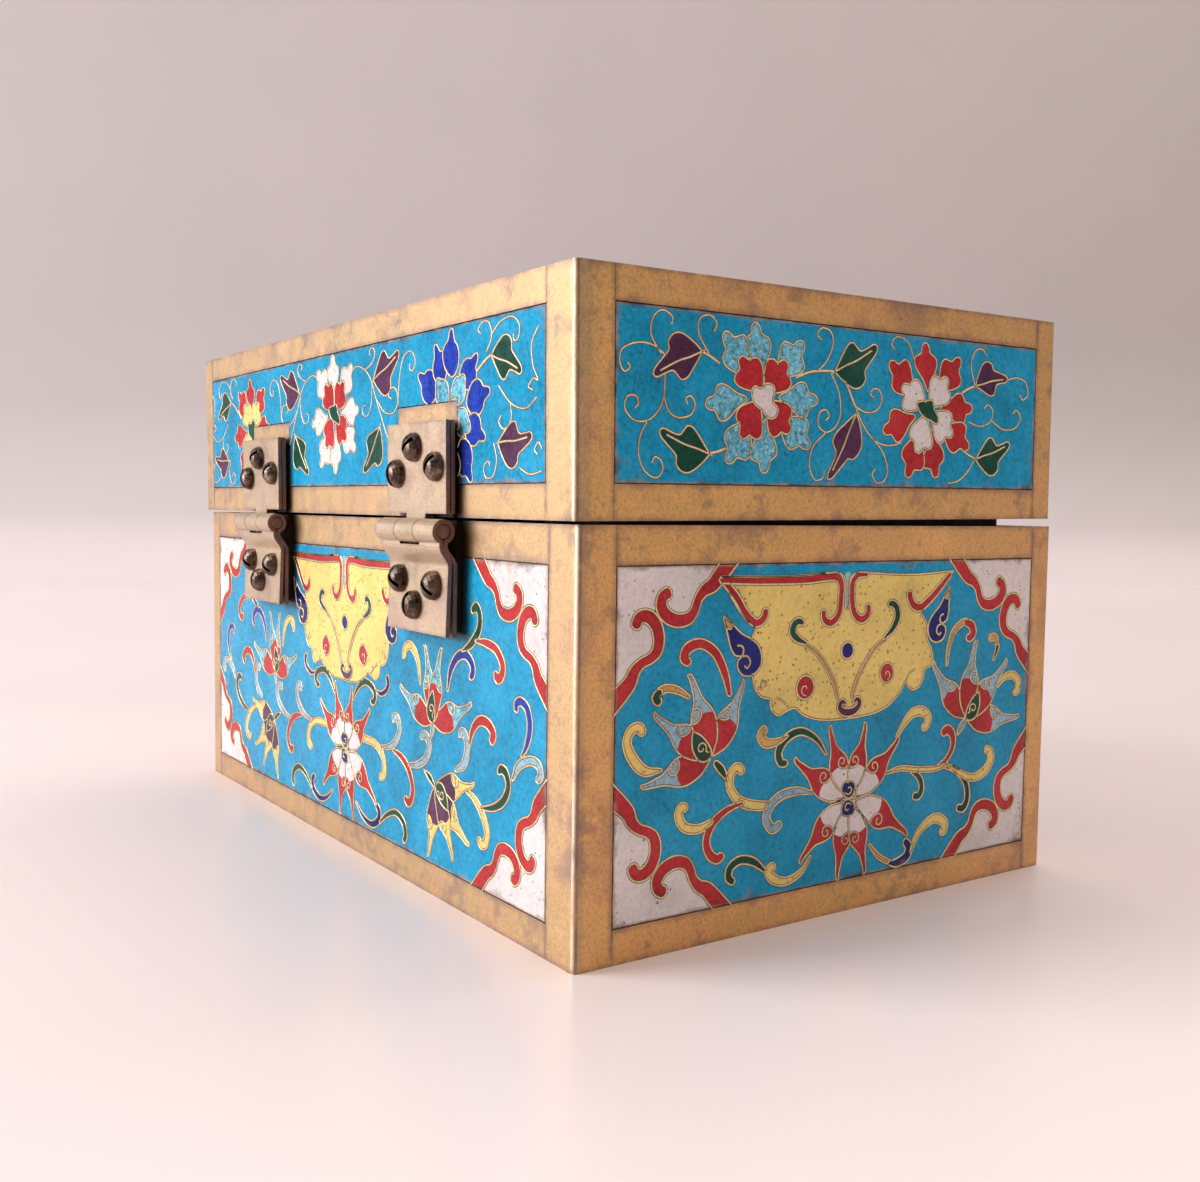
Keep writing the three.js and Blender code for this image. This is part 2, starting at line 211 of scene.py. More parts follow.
# Where a painted shadow lies on the back, along the left edges of the hinge straps: millimetres and how
# thick it is.
STRAP_SHADOW = {
    "Y": ((46, 0.0), (47, 1.0)),
    "Z": ((41.5, 0.0), (42.5, 1.0), (74, 1.0), (75.2, 0.0)),
    "X": ((-48.4, 0.0), (-46.9, 0.5), (-45.6, 0.93), (-28, 0.93), (-25, 0.0),
          (21.8, 0.0), (23.2, 0.5), (24.6, 0.93), (42, 0.93), (45, 0.0)),
}
# Where the back's frame brass is painted cooler and less yellow, standing in for the window's sheen on it.
BACK_SHEEN = {"Y": ((47.6, 0.0), (48.2, 1.0))}
UPRIGHT_CORNERS = {
    "X": ((-75.2, 1.0), (-74.6, 0.0), (74.6, 0.0), (75.2, 1.0)),
    "Y": ((-48.4, 1.0), (-47.8, 0.0), (48.6, 0.0), (49.2, 1.0)),
}
CORNER_ROLL_MM = 1.6
SOIL, SOIL_PALE = srgb(86, 56, 40), srgb(176, 142, 116)
RIM_SOIL_MM = 3.2  # how far the soiling reaches in from a plaque's edge
EDGE_DISTANCES = ("from_low_mm", "from_high_mm")  # from a plate's lower left and upper right edges
RELIEF_MM, RELIEF = 0.05, 0.6  # depth and strength of the fine unevenness


def enamel_material(name):
    """Fired enamel: grainy colour, pits and specks, soiling that gathers at the plaque's edge, and a painted
    shadow beside the hinge straps.
    """
    colour, drift, grain, specks, pale = ENAMELS[name]
    n = Nodes(f"enamel_{name}")
    dark = tuple(c * (1 - 2 * drift) for c in colour)
    light = tuple(min(1.0, c * (1 + drift) + 0.015) for c in colour)
    body = n.steps(n.noise(0.09, 5, 0.6), (0.34, dark), (0.5, colour), (0.66, light))
    powder = n.steps(n.noise(1.3, 5, 0.8), (0.36, 1 - 1.6 * grain), (0.5, 1.0), (0.64, 1 + 0.5 * grain))
    lit = tuple(min(1.0, c * (1.1 - pale) + pale) for c in colour)
    fleck = n.steps(n.noise(1.7, 4, 0.7), (0.52, 0.0), (0.66, min(1.0, grain * 1.9)))
    body = n.mix(fleck, n.times(body, powder), lit)
    pits = n.dots(0.5, 0.06, 0.13, n.noise(0.3, 2), 0.56 - 0.08 * specks)
    dust = n.dots(0.95, 0.1, 0.16 + 0.08 * specks, n.noise(0.5, 3), 0.64 - 0.26 * specks)
    body = n.mix(n.mix(1.0, pits, n.mix(0.85, (0, 0, 0), dust), "ADD"), body, srgb(84, 52, 26))
    low, high = (n.add("Attribute", attribute_name=a).outputs["Vector"] for a in EDGE_DISTANCES)
    nearest = n.add("VectorMath", {0: low, 1: high}, operation="MINIMUM").outputs[0]
    patch = n.noise(0.13, 6, 0.72)
    reach = n.steps(patch, (0.5, 0.12 * RIM_SOIL_MM), (0.58, 0.3 * RIM_SOIL_MM), (0.68, RIM_SOIL_MM))
    near = n.math("DIVIDE", n.math("MINIMUM", n.axis("X", nearest), n.axis("Y", nearest)), reach)
    soiled = n.steps(near, (0.0, 0.9), (0.3, 0.5), (1.0, 0.0))
    body = n.mix(soiled, body, n.steps(n.noise(0.3, 4), (0.4, SOIL), (0.62, SOIL_PALE)))
    # The hinge straps' painted shadow on the back enamel.
    n.set(Base_Color=n.mix(n.region(**STRAP_SHADOW), body, PAINTED_SHADE), Specular_IOR_Level=0.22)
    n.set(Roughness=n.steps(n.noise(0.5, 4), (0.35, 0.18), (0.7, 0.36)))
    wave = n.mix(0.25, n.noise(0.12, 2), n.noise(1.4, 3))
    n.bump(n.mix(1.0, wave, pits, "SUBTRACT"), RELIEF_MM, RELIEF)
    return n.material


def brass_material(name, colour, tarnish, amount, rough, edge_mm=2.0, dark_ends=False, framing=False,
                   coat=1.0):
    """Old satin brass: clouds, fine rubbing, red-brown stains near the edges, clustered pits, soiled edges.
    amount: how strong the stains are. edge_mm: how far in from a sharp edge the soiling starts, 0 for none.
    dark_ends: faces square to X, such as a strap's cut edges, have gone brown.
    framing: the box's outer strips, with rolled upright corners and a painted highlight along them, painted
    cooler and less yellow on the back as the window's sheen, and a painted shadow by the hinges."""
    n = Nodes(name)
    shade = tuple(0.6 * c + 0.4 * t for c, t in zip(colour, tarnish))
    olive = tuple(c * f for c, f in zip(colour, (0.9, 0.97, 0.8)))
    light = tuple(min(1.0, c * f) for c, f in zip(colour, (1.12, 1.16, 1.15)))
    body = n.steps(n.noise(0.06, 5, 0.62), (0.34, shade), (0.46, colour), (0.56, olive), (0.7, light))
    body = n.times(body, n.steps(n.noise(2.4, 4, 0.75), (0.36, 0.66), (0.52, 1.0), (0.68, 1.12)))
    where = n.noise(0.13, 7, 0.74)
    if edge_mm:
        turn = n.edge_turn(edge_mm)
        where = n.math("ADD", where, n.steps(turn, (0.78, 0.11), (0.98, 0.0)))
    stain = n.steps(where, (0.53, 0.0), (0.61, amount * 0.6), (0.7, amount))
    body = n.mix(stain, body, tarnish)
    crowd = n.steps(n.math("ADD", where, n.noise(0.09, 3, 0.5)), (1.0, 0.0), (1.1, 1.0))
    pits = n.times(n.steps(n.noise(2.0, 3, 0.6), (0.54, 0.0), (0.61, 1.0)), crowd)
    body = n.mix(pits, body, srgb(96, 40, 20))
    if edge_mm:
        broken = n.steps(n.noise(0.35, 5, 0.7), (0.38, 0.15), (0.6, 1.0))
        body = n.mix(n.times(n.steps(turn, (0.76, 0.95), (0.88, 0.0)), broken), body, srgb(104, 48, 34))
    if dark_ends:
        copper = n.steps(n.noise(0.6, 4), (0.35, srgb(70, 36, 26)), (0.65, srgb(128, 70, 44)))
        body = n.mix(n.steps(n.facing_x(), (0.6, 0.0), (0.8, 1.0)), body, copper)
    n.set(Metallic=0.7, Coat_Weight=coat, Coat_Roughness=0.5, Coat_IOR=2.0)
    n.set(Roughness=n.steps(n.noise(0.3, 5, 0.65), (0.3, rough - 0.08), (0.75, rough + 0.16)))
    relief = {}
    if framing:
        # Painted sheen: the back's brass is made cooler and less yellow, as the grazing window light would
        # wash it out.
        body = n.times(body, n.mix(n.region(**BACK_SHEEN), (1.0, 1.0, 1.0), (0.74, 0.82, 1.25)))
        # Round a corner facing_x runs from 0 to 1: first a painted highlight line, where a rolled corner
        # would catch the window, then a dark reddish line.
        facing = n.facing_x()
        corner_highlight = n.steps(facing, (0.1, 0.0), (0.2, 0.75), (0.58, 0.75), (0.68, 0.0))
        corner_highlight = n.times(corner_highlight, n.steps(n.noise(0.2, 4, 0.6), (0.36, 0.4), (0.5, 1.0)))
        corner_dark_line = n.steps(facing, (0.7, 0.0), (0.8, 0.85), (0.92, 0.85), (0.97, 0.0))
        corner_dark_line = n.times(corner_dark_line, n.steps(n.noise(0.3, 5, 0.7), (0.36, 0.3), (0.55, 1.0)))
        body = n.mix(corner_highlight, n.mix(corner_dark_line, body, srgb(100, 44, 30)), srgb(255, 232, 204))
        # The hinge straps' painted shadow on the back's frame, whose coat is taken off there and in the
        # pits.
        strap_shadow = n.region(**STRAP_SHADOW)
        body = n.mix(strap_shadow, body, PAINTED_SHADE)
        n.set(Coat_Weight=n.steps(n.mix(1.0, strap_shadow, pits, "ADD"), (0.0, 1.0), (0.9, 0.0)))
        flat = n.add("NewGeometry").outputs["Normal"]
        relief["Normal"] = n.mix(n.region(**UPRIGHT_CORNERS), flat, n.rounded(CORNER_ROLL_MM))
    n.set(Base_Color=body)
    rubbed = n.mix(0.5, n.noise(0.9, 4, 0.6, (1.0, 1.0, 5.0)), n.noise(2.4, 3))
    n.bump(n.mix(1.0, rubbed, pits, "SUBTRACT"), RELIEF_MM, RELIEF, **relief)
    return n.material


def dirt_material():
    n = Nodes("dirt_along_cloisons")
    dirt = n.steps(n.noise(0.9, 5, 0.7), (0.35, srgb(58, 38, 28)), (0.65, srgb(122, 88, 60)))
    n.set(Base_Color=dirt, Roughness=0.7)
    return n.material


def screw_material():
    """Dark bronze, its slots painted almost black as shade."""
    n = Nodes("dark_screw_metal")
    browns = (0.35, srgb(62, 48, 42)), (0.6, srgb(104, 84, 72)), (0.8, srgb(168, 142, 122))
    body = n.steps(n.noise(0.5, 4), *browns)
    # Painted shade: ambient occlusion darkens the slots.
    open_air = n.add("AmbientOcclusion", {"Distance": 1.0 * MM}, only_local=True, samples=8).outputs["AO"]
    n.set(Base_Color=n.mix(n.steps(open_air, (0.45, 1.0), (0.75, 0.0)), body, PAINTED_SHADE), Metallic=0.95)
    n.set(Roughness=n.steps(n.noise(0.9, 3), (0.3, 0.16), (0.7, 0.32)))
    n.bump(n.noise(1.6, 3), 0.03, 0.4)
    return n.material


def stage_material():
    """Glossy pale table and wall with painted shade: the table a little darker further off and the wall
    darker, by the stage's own coordinates.
    """
    n = Nodes("pale_stage")
    # Painted shade: the table a shade darker beyond TABLE_END, the wall darker still.
    tones = (TABLE_END - 0.02, srgb(243, 226, 222)), (TABLE_END + 0.03, srgb(236, 220, 217))
    wall = n.steps(n.axis("Z", n.place), (0.0, 0.0), (0.05, 0.7), (0.16, 1.0))
    body = n.mix(wall, n.steps(n.axis("X", n.place), *tones), srgb(186, 173, 169))
    haze = n.steps(n.noise(0.004, 2), (0.3, 0.96), (0.7, 1.0))
    n.set(Base_Color=n.times(body, haze), Roughness=n.steps(wall, (0.0, 0.26), (0.6, 0.8)))
    return n.material


# ---------------------------------------------------------------- drawing on the flat, in millimetres
STEP = 0.35  # between the points of a sampled curve


def smooth(points, closed=False):
    """A Catmull-Rom curve through points of any dimension, sampled about every STEP along its plane."""
    p = np.array(points, float)
    if closed:
        p = np.vstack([p[-1:], p, p[:2]])
    else:
        p = np.vstack([2 * p[0] - p[1], p, 2 * p[-1] - p[-2]])
    found = []
    for a, b, c, d in zip(p, p[1:], p[2:], p[3:]):
        count = max(2, math.ceil(np.linalg.norm((c - b)[:2]) / STEP))
        t = (np.arange(count) / count)[:, None]
        found.append(0.5 * (2 * b + (c - a) * t + (2 * a - 5 * b + 4 * c - d) * t**2
                            + (3 * b - a - 3 * c + d) * t**3))
    if not closed:
        found.append(p[-2][None])
    return np.vstack(found)


def cornered(runs, start=None):
    """Smooth runs with sharp corners between them, each from the last one's end; closed without a start."""
    last = runs[-1][-1] if start is None else start
    parts = []
    for run in runs:
        parts.append(smooth([last, *run])[:-1])
        last = run[-1]
    return np.vstack(parts)


def normals(path):
    d = np.gradient(path, axis=0)
    d /= np.maximum(np.linalg.norm(d, axis=1, keepdims=True), 1e-9)
    return np.stack([-d[:, 1], d[:, 0]], 1)


def band(points):
    """The outline of a stroke through (u, v, width) points, with round ends."""
    p = smooth(points)
    side = normals(p[:, :2])
    half = np.maximum(p[:, 2:], 0.1) / 2
    left, right = p[:, :2] + side * half, p[:, :2] - side * half

    def cap(at, normal, radius):
        count = max(2, round(radius * 5))
        turns = np.arange(1, count) * math.pi / count
        ahead = np.array([normal[1], -normal[0]])
        return [at + radius * (normal * math.cos(a) + 0.7 * ahead * math.sin(a)) for a in turns]

    end = cap(p[-1, :2], side[-1], half[-1, 0])
    start = cap(p[0, :2], -side[0], half[0, 0])
    return np.vstack([left] + [np.array(e).reshape(-1, 2) for e in (end, right[::-1], start)])


def circle(u, v, radius, count=20):
    a = np.arange(count) * 2 * math.pi / count
    return np.stack([u + radius * np.cos(a), v + radius * np.sin(a)], 1)


def spiral(at, radius, start, turns, lead=()):
    """A small curl after the lead points, winding inwards from a start angle in degrees; turns is signed."""
    count = max(6, round(abs(turns) * 10))
    curl = []
    for i in range(count + 1):
        r, a = radius * (1 - 0.7 * (i / count)), math.radians(start + 360 * turns * i / count)
        curl.append((at[0] + r * math.cos(a), at[1] + r * math.sin(a)))
    return [*lead, *curl]


def inside(points, outline):
    """Which points lie in the outline, by the winding number."""
    near = (points >= outline.min(0)).all(1) & (points <= outline.max(0)).all(1)
    x, y = points[near].T[:, :, None]
    (x0, y0), (x1, y1) = outline.T, np.roll(outline, -1, 0).T
    across = (x1 - x0) * (y - y0) - (x - x0) * (y1 - y0)
    rising = (y0 <= y) & (y < y1) & (across > 0)
    falling = (y1 <= y) & (y < y0) & (across < 0)
    near[near] = rising.sum(1) != falling.sum(1)
    return near


def turned(points, at, angle=0.0, scale=1.0, side=1.0):
    """Points (u, v) with v multiplied by side, then all scaled, turned by degrees and moved."""
    u, v = (np.array(points, float) * (1, side) * scale).T
    c, s = math.cos(math.radians(angle)), math.sin(math.radians(angle))
    return np.stack([at[0] + c * u - s * v, at[1] + s * u + c * v], 1)


class Art:
    """Enamel cells and wires on one plaque, laid in order: what comes later lies over what came before."""

    def __init__(self, outline, wire):
        self.outline = np.array(outline, float)
        self.wire = wire
        self.cells = [(self.outline, "turquoise")]
        self.wires = []

    def cell(self, outline, colour, wire=1.0):
        """An enamelled cell; wire is the width of its cloison, as a part of the plaque's usual one."""
        self.cells.append((np.array(outline, float), colour))
        if wire:
            self.edge(outline, wire)

    def edge(self, outline, wire=1.0):
        self.wires.append((len(self.cells), np.vstack([outline, outline[:1]]), wire * self.wire))

    def line(self, points, wire=1.0):
        self.wires.append((len(self.cells), smooth(points), wire * self.wire))

    def stroke(self, colour, points, wire=1.0):
        self.cell(band(points), colour, wire)

    def blob(self, colour, points, wire=1.0):
        self.cell(smooth(points, closed=True), colour, wire)

    def visible_wires(self):
        """Each wire's parts that no later cell covers and that lie on the plaque."""
        for order, path, width in self.wires:
            keep = inside(path, self.outline)
            for outline, _ in self.cells[order:]:
                keep &= ~inside(path, outline)
            start = None
            for i in range(len(path) + 1):
                if i < len(path) and keep[i]:
                    start = i if start is None else start
                elif start is not None:
                    run = path[max(start - 1, 0):min(i + 1, len(path))]
                    if len(run) > 2:
                        yield run, width
                    start = None

    def partition(self):
        """Triangles of the plaque's front with the colour of the cell on top."""
        points, edges = [], []
        for outline, _ in self.cells:
            first, count = len(points), len(outline)
            points.extend(Vector(p) for p in outline)
            edges.extend((first + i, first + (i + 1) % count) for i in range(count))
        verts, _, faces, *_ = delaunay_2d_cdt(points, edges, [], 0, 1e-5)
        verts = np.array([tuple(v) for v in verts])
        faces = np.array([f for f in faces if len(f) == 3])
        middle = verts[faces].mean(1)
        top = np.full(len(faces), -1)
        for index, (outline, _) in enumerate(self.cells):
            top[inside(middle, outline)] = index
        keep = inside(middle, self.outline)
        return verts, faces[keep], [self.cells[i][1] for i in top[keep]]


# ---------------------------------------------------------------- motifs
# A flame-like petal of length 1 along u, from its foot round by its smooth side to the tip, and back by
# the side with the shoulder.
FLAME_SMOOTH = (
    (0, 0), (0.1, 0.09), (0.2, 0.155), (0.37, 0.195), (0.51, 0.175), (0.66, 0.105), (0.82, 0.072),
    (0.93, 0.055), (1, 0.02),
)
FLAME_SHOULDER = (
    (0.985, -0.012), (0.9, 0.0), (0.8, -0.008), (0.69, -0.022), (0.61, -0.065), (0.52, -0.12),
    (0.43, -0.14), (0.3, -0.12), (0.11, -0.075), (0, 0),
)
FLAME_SPLIT = ((0.375, 0.196), (0.405, 0.1), (0.4, 0.02), (0.36, -0.08), (0.37, -0.134))
FLAME_CURL = (
    (0.365, -0.134), (0.352, -0.075), (0.38, -0.005), (0.44, 0.032), (0.5, 0.0), (0.505, -0.058),
    (0.462, -0.088), (0.425, -0.055), (0.437, -0.018),
)


def flame(art, at, angle, length, shoulder, body, tip, late=0.0):
    """A petal of two colours that meet in a curl, further out by late. shoulder: left (1) or right (-1)."""
    def place(points):
        return turned(points, at, angle, length, -shoulder)

    outline = np.vstack([smooth(place(side))[:-1] for side in (FLAME_SMOOTH, FLAME_SHOULDER)])
    art.cell(outline, body, 0)
    split = [(u + late, v * (1 - late)) for u, v in FLAME_SPLIT]
    tip_side = smooth(place([split[0], *FLAME_SMOOTH[4:]]))
    shoulder_side = smooth(place([FLAME_SMOOTH[-1], *FLAME_SHOULDER[:6], split[-1]]))
    art.cell(np.vstack([tip_side, shoulder_side[1:], smooth(place(split))[::-1][1:]]), tip, 0)
    art.edge(outline)
    art.line(place([(u + late, v) for u, v in FLAME_CURL]), 0.9)


# (foot, angle, length, side of the shoulder) of the star's petals, the hidden ones first
STAR_PETALS = (
    ((-0.6, 0.1), 145.0, 13.2, -1), ((1.8, 0.0), 43.0, 13.0, 1), ((-0.6, -0.5), 222.5, 12.6, 1),
    ((1.8, -0.5), 328.5, 14.2, -1), ((0.0, 0.6), 109.5, 12.0, -1), ((0.6, 0.6), 76.0, 11.6, 1),
    ((0.2, -1.2), 261.0, 11.8, 1), ((0.9, -1.2), 285.5, 12.0, -1),
)
STAR_DROP = (
    (-1.5, 0.3), (-1.1, 1.15), (0, 1.35), (1.15, 1.0), (1.4, 0.0), (0.7, -1.1), (-0.3, -1.15), (-1.1, -0.5),
)


def star_lotus(art, at):
    """The full lotus: eight white petals with red tips round two blue drops."""
    art.cell(turned(circle(0.4, 0, 4.2) * (1, 0.95), at), "white", 0)
    for foot, angle, length, shoulder in STAR_PETALS:
        flame(art, turned([foot], at)[0], angle, length, shoulder, "white", "red")
    for v, turn in ((1.3, 0), (-1.45, 180)):
        heart = (at[0] + 0.2, at[1] + v)
        art.blob("lapis", turned(STAR_DROP, heart, turn), 0.6)
        art.line(spiral(turned([(0.1, 0.05)], heart, turn)[0], 0.85, turn - 150, 0.8), 0.8)
    art.line([(at[0] - 2.4, at[1]), (at[0] + 0.2, at[1] - 0.05), (at[0] + 2.6, at[1] - 0.05)], 1.7)


DROP = (
    ((0.3, 1.2), (1.5, 2.0), (3.4, 1.7), (4.7, 0.75), (5.3, 0.0)),
    ((3.9, -0.6), (2.3, -0.8), (0.9, -0.6), (0, 0)),
)


def lotus(art, at, petals, body, tip, heart, side=1):
    """A half-open lotus from the side, of (angle, length, shoulder) petals. heart: where its drop points."""
    for angle, length, shoulder in petals:
        flame(art, at, angle, length, shoulder, body, tip, 0.09)
    art.cell(cornered([turned(run, at, heart, side=side) for run in DROP]), "green")
    art.line(turned(spiral((2.3, 0.5), 0.95, 200, 1.1, [(0.9, -0.1)]), at, heart, side=side), 0.8)


# An arm of a corner field, from the plaque's edge to its inward curl: (along, in, width) from the corner.
CORNER_ARM = (
    (20.4, -1.4, 2.7), (17.9, 1.3, 2.5), (16.4, 2.8, 2.2), (15.0, 3.5, 1.8), (13.9, 4.7, 1.45),
    (13.3, 6.2, 1.5), (12.3, 7.3, 1.75), (10.4, 7.6, 1.9), (8.5, 6.9, 1.95), (7.5, 5.6, 1.9),
    (7.6, 4.3, 1.75), (8.6, 3.7, 1.75),
)
ARM_JOINS = 10  # points of the arm that bound the white field


def corner_field(art, corner, su, sv):
    """A white corner field with a red cloud-collar edge. su and sv point into the plaque."""
    def placed(arm):
        return [(corner[0] + su * a, corner[1] + sv * b, w) for a, b, w in arm]

    arms = placed([(b - 0.5, a - 0.7, w) for a, b, w in CORNER_ARM]), placed(CORNER_ARM)
    other, edge = ([tuple(p[:2]) for p in smooth(arm[:ARM_JOINS])] for arm in arms)
    art.cell([(corner[0] - su, corner[1] - sv)] + edge + other[::-1], "white", 0)
    for arm in arms:
        art.stroke("red", arm)


def corner_fields(art):
    low, high = art.outline.min(0), art.outline.max(0)
    for u, su in ((low[0], 1), (high[0], -1)):
        for v, sv in ((low[1], 1), (high[1], -1)):
            corner_field(art, (u, v), su, sv)


# Half of the yellow collar: its outline from the notch in the top edge to the middle of the foot, its two
# red bands, the green sprig, the red eye (out, up, radius) and the fine lines.
COLLAR = {
    "outline": (
        ((0.5, 18.0), (0.45, 21.2), (1.2, 22.5), (3.0, 22.9), (12.0, 22.6), (25.2, 22.8)),
        ((22.8, 19.2), (20.6, 16.6), (18.5, 15.2)),
        ((19.2, 13.4), (18.2, 11.0), (19.0, 8.3)),
        ((18.4, 6.3), (17.1, 5.0), (15.4, 4.6)),
        ((15.1, 3.0), (13.8, 2.0), (12.2, 2.5)),
        ((10.4, 2.8), (8.8, 1.7), (6.4, 0.85), (3.5, 0.4), (0.0, 0.3)),
    ),
    "side_band": (
        (24.9, 22.4, 1.0), (22.3, 19.8, 1.15), (20.8, 17.8, 1.15), (19.4, 16.4, 1.2), (18.2, 15.9, 1.2),
        (17.05, 16.5, 1.2), (16.6, 17.6, 1.2),
    ),
    "top_band": (
        (25.2, 22.3, 1.0), (18.2, 22.05, 1.1), (9.3, 22.0, 1.2), (4.1, 22.3, 1.2), (2.2, 22.2, 1.3),
        (1.35, 21, 1.2), (1.4, 19.2, 1.1), (1.6, 17.2, 1.15), (2.3, 15.95, 1.2), (3.4, 15.3, 1.2),
        (4.5, 15.65, 1.15), (4.95, 16.4, 1.1), (4.95, 17.1, 1.0),
    ),
    "sprig": (
        (8.3, 12.4, 0.5), (10.2, 13.2, 1.1), (11.2, 14.2, 1.3), (10.9, 15.4, 1.25), (9.9, 15.8, 1.1),
        (9.2, 15.5, 0.9),
    ),
    "eye": (8.4, 5.8, 1.8),
    "lines": (spiral((16.6, 6.8), 0.75, -60, 0.9, [(17.9, 6.4)]), ((11.6, 3.0), (12.9, 4.1), (14.2, 4.7))),
}
# On the ends, the far half is pulled about a little.
COLLAR_FAR = {
    "outline": (
        ((0.35, 18.0), (0.3, 21.2), (0.9, 22.4), (3.0, 22.8), (14.0, 22.3), (24.2, 22.7)),
        ((21.6, 20.2), (19.4, 18.2), (16.6, 16.2)),
        ((18.2, 14.0), (18.2, 12.0), (19.5, 9.9), (19.9, 8.0)),
        ((19.0, 7.2), (18.0, 7.0), (17.7, 5.6)),
        ((16.9, 4.3), (15.4, 3.7), (14.2, 4.2), (13.5, 5.3)),
        ((12.2, 3.5), (9.8, 1.7), (6.8, 0.75), (3.4, 0.4), (0.0, 0.3)),
    ),
    "side_band": (
        (23.4, 22.2, 0.9), (21.5, 20.5, 1.05), (19.8, 19.1, 1.2), (18, 17.8, 1.25), (16.5, 17, 1.25),
        (15, 17.3, 1.3), (14.1, 18.4, 1.35), (13.9, 19.3, 1.35),
    ),
    "top_band": (
        (4.2, 22.5, 0.7), (2.2, 22.4, 0.9), (1.1, 21.5, 1.1), (0.95, 20, 1.1), (1.1, 18, 1.15),
        (1.7, 16.4, 1.2), (2.9, 15.6, 1.2), (4, 15.8, 1.2), (4.6, 16.7, 1.15), (4.6, 17.6, 1.1),
    ),
    "sprig": (
        (8.3, 12.4, 0.5), (10.2, 13.2 + 2 / 3, 1.1), (11.2, 15.6, 1.3), (10.9, 17.2, 1.25),
        (9.9, 17.8, 1.1), (9.2, 17.7, 0.9),
    ),
    "eye": (9.1, 6.9, 1.55),
    "lines": (((13.6, 5.3), (14.5, 6.6), (15.6, 7.0)),),
}
COLLAR_NOTCH = (0.0, 17.2)
COLLAR_STEM = ((8.6, 12.2, 0.45), (6.2, 10.9, 0.6), (4.0, 8.5, 0.7), (2.4, 6.0, 0.7), (1.5, 3.7, 0.6))
COLLAR_BOW = (
    (0.2, 2.7, 0.5), (-0.5, 3.05, 0.9), (-1.1, 2.4, 1.05), (-0.7, 1.7, 1.15), (0.4, 1.3, 1.3),
    (1.9, 1.35, 1.3), (3.0, 2.1, 1.1), (3.2, 2.9, 0.95), (2.5, 3.2, 0.8), (2.0, 2.7, 0.5),
)


def collar(art, at, near=-1, pulled=False):
    """The scalloped yellow collar that hangs from the top edge round the middle u = at."""
    art.stroke("mist", [(at, 16.8, 1.3), (at, 20.0, 1.4), (at, 22.6, 1.2)], 0)
    halves = [(near, COLLAR), (-near, COLLAR_FAR if pulled else COLLAR)]
    first, second = (cornered(half["outline"], COLLAR_NOTCH) * (s, 1) + (at, 0) for s, half in halves)
    art.cell(np.vstack([first, second[::-1]]), "yellow")
    for s, half in halves:
        def put(points):
            return [(at + s * p[0], *p[1:]) for p in points]

        art.stroke("red", put(half["side_band"]))
        art.stroke("red", put(half["top_band"]))
        for line in half["lines"]:
            art.line(put(line), 0.8)
        art.stroke("tan", put(COLLAR_STEM), 0.7)
        art.stroke("green", put(half["sprig"]))
        out, up, radius = half["eye"]
        art.cell(circle(at + s * out, up, radius), "red")
        art.line(spiral((at + s * out, up - 0.3), radius * 0.55, -80, s * 0.75), 0.8)
    art.cell(circle(at + 0.3, 10.9, 1.3), "lapis")
    art.stroke("purple", [(at + u, v, w) for u, v, w in COLLAR_BOW])


COMMA = (
    ((-2.0, -0.9), (-2.9, 0.3), (-3.4, 1.9), (-4.4, 4.9)),
    ((-2.9, 3.9), (-2.2, 3.3), (-0.8, 2.2), (0.9, 1.4), (2.4, 0.3), (3.1, -1.5), (2.7, -3.0), (1.3, -4.0),
     (-0.4, -3.9), (-1.4, -2.9), (-1.5, -1.8), (-0.7, -1.1)),
)
COMMA_TIP = ((-3.75, 3.0), (-2.9, 2.9), (-2.5, 3.55), (-2.9, 3.9), (-4.4, 4.9))
COMMA_CURLS = (
    ((-0.7, -1.1), (0.4, -1.2), (0.9, -2.1), (0.3, -2.9), (-0.2, -2.5)),
    ((-0.7, -1.1), (-0.4, -0.2), (-0.8, 0.4), (-1.6, 0.5)),
)


def comma_leaf(art, at, mirror, angle=0, scale=1.0):
    """A plump lapis leaf that curls round at its foot and ends in a tan tip."""
    def place(points):
        return turned(np.array(points) * (-1 if mirror else 1, 1), at, angle, scale)

    outline = cornered([place(run) for run in COMMA])
    art.cell(outline, "lapis", 0)
    art.cell(place(COMMA_TIP), "tan", 0.8)
    art.edge(outline)
    for curl in COMMA_CURLS:
        art.line(place(curl))


# A vine leaf of length 1 from its foot, with a broad lobe on its right and a small one on its left.
LEAF = (
    (0.0, 0.0), (0.1, -0.22), (0.26, -0.45), (0.42, -0.5), (0.55, -0.42), (0.59, -0.29), (0.76, -0.2),
    (0.94, -0.11), (1.0, -0.02), (0.94, 0.05), (0.8, 0.05), (0.64, 0.07), (0.59, 0.17), (0.54, 0.28),
    (0.42, 0.29), (0.23, 0.17), (0.0, 0.0),
)
MIDRIB = ((-0.06, 0.0), (0.25, -0.01), (0.5, -0.04), (0.86, -0.03))


def vine_leaf(art, colour, foot, tip, flip=False, wide=0.86):
    """A leaf from its foot to its tip; wide is its width as a part of the outline's own."""
    foot, tip = np.array(foot, float), np.array(tip, float)
    length = np.linalg.norm(tip - foot)
    angle = math.degrees(math.atan2(*(tip - foot)[::-1]))
    side = -wide if flip else wide
    art.cell(smooth(turned(LEAF, foot, angle, length, side))[:-1], colour)
    art.line(turned(MIDRIB, foot, angle, length, side), 1.1)


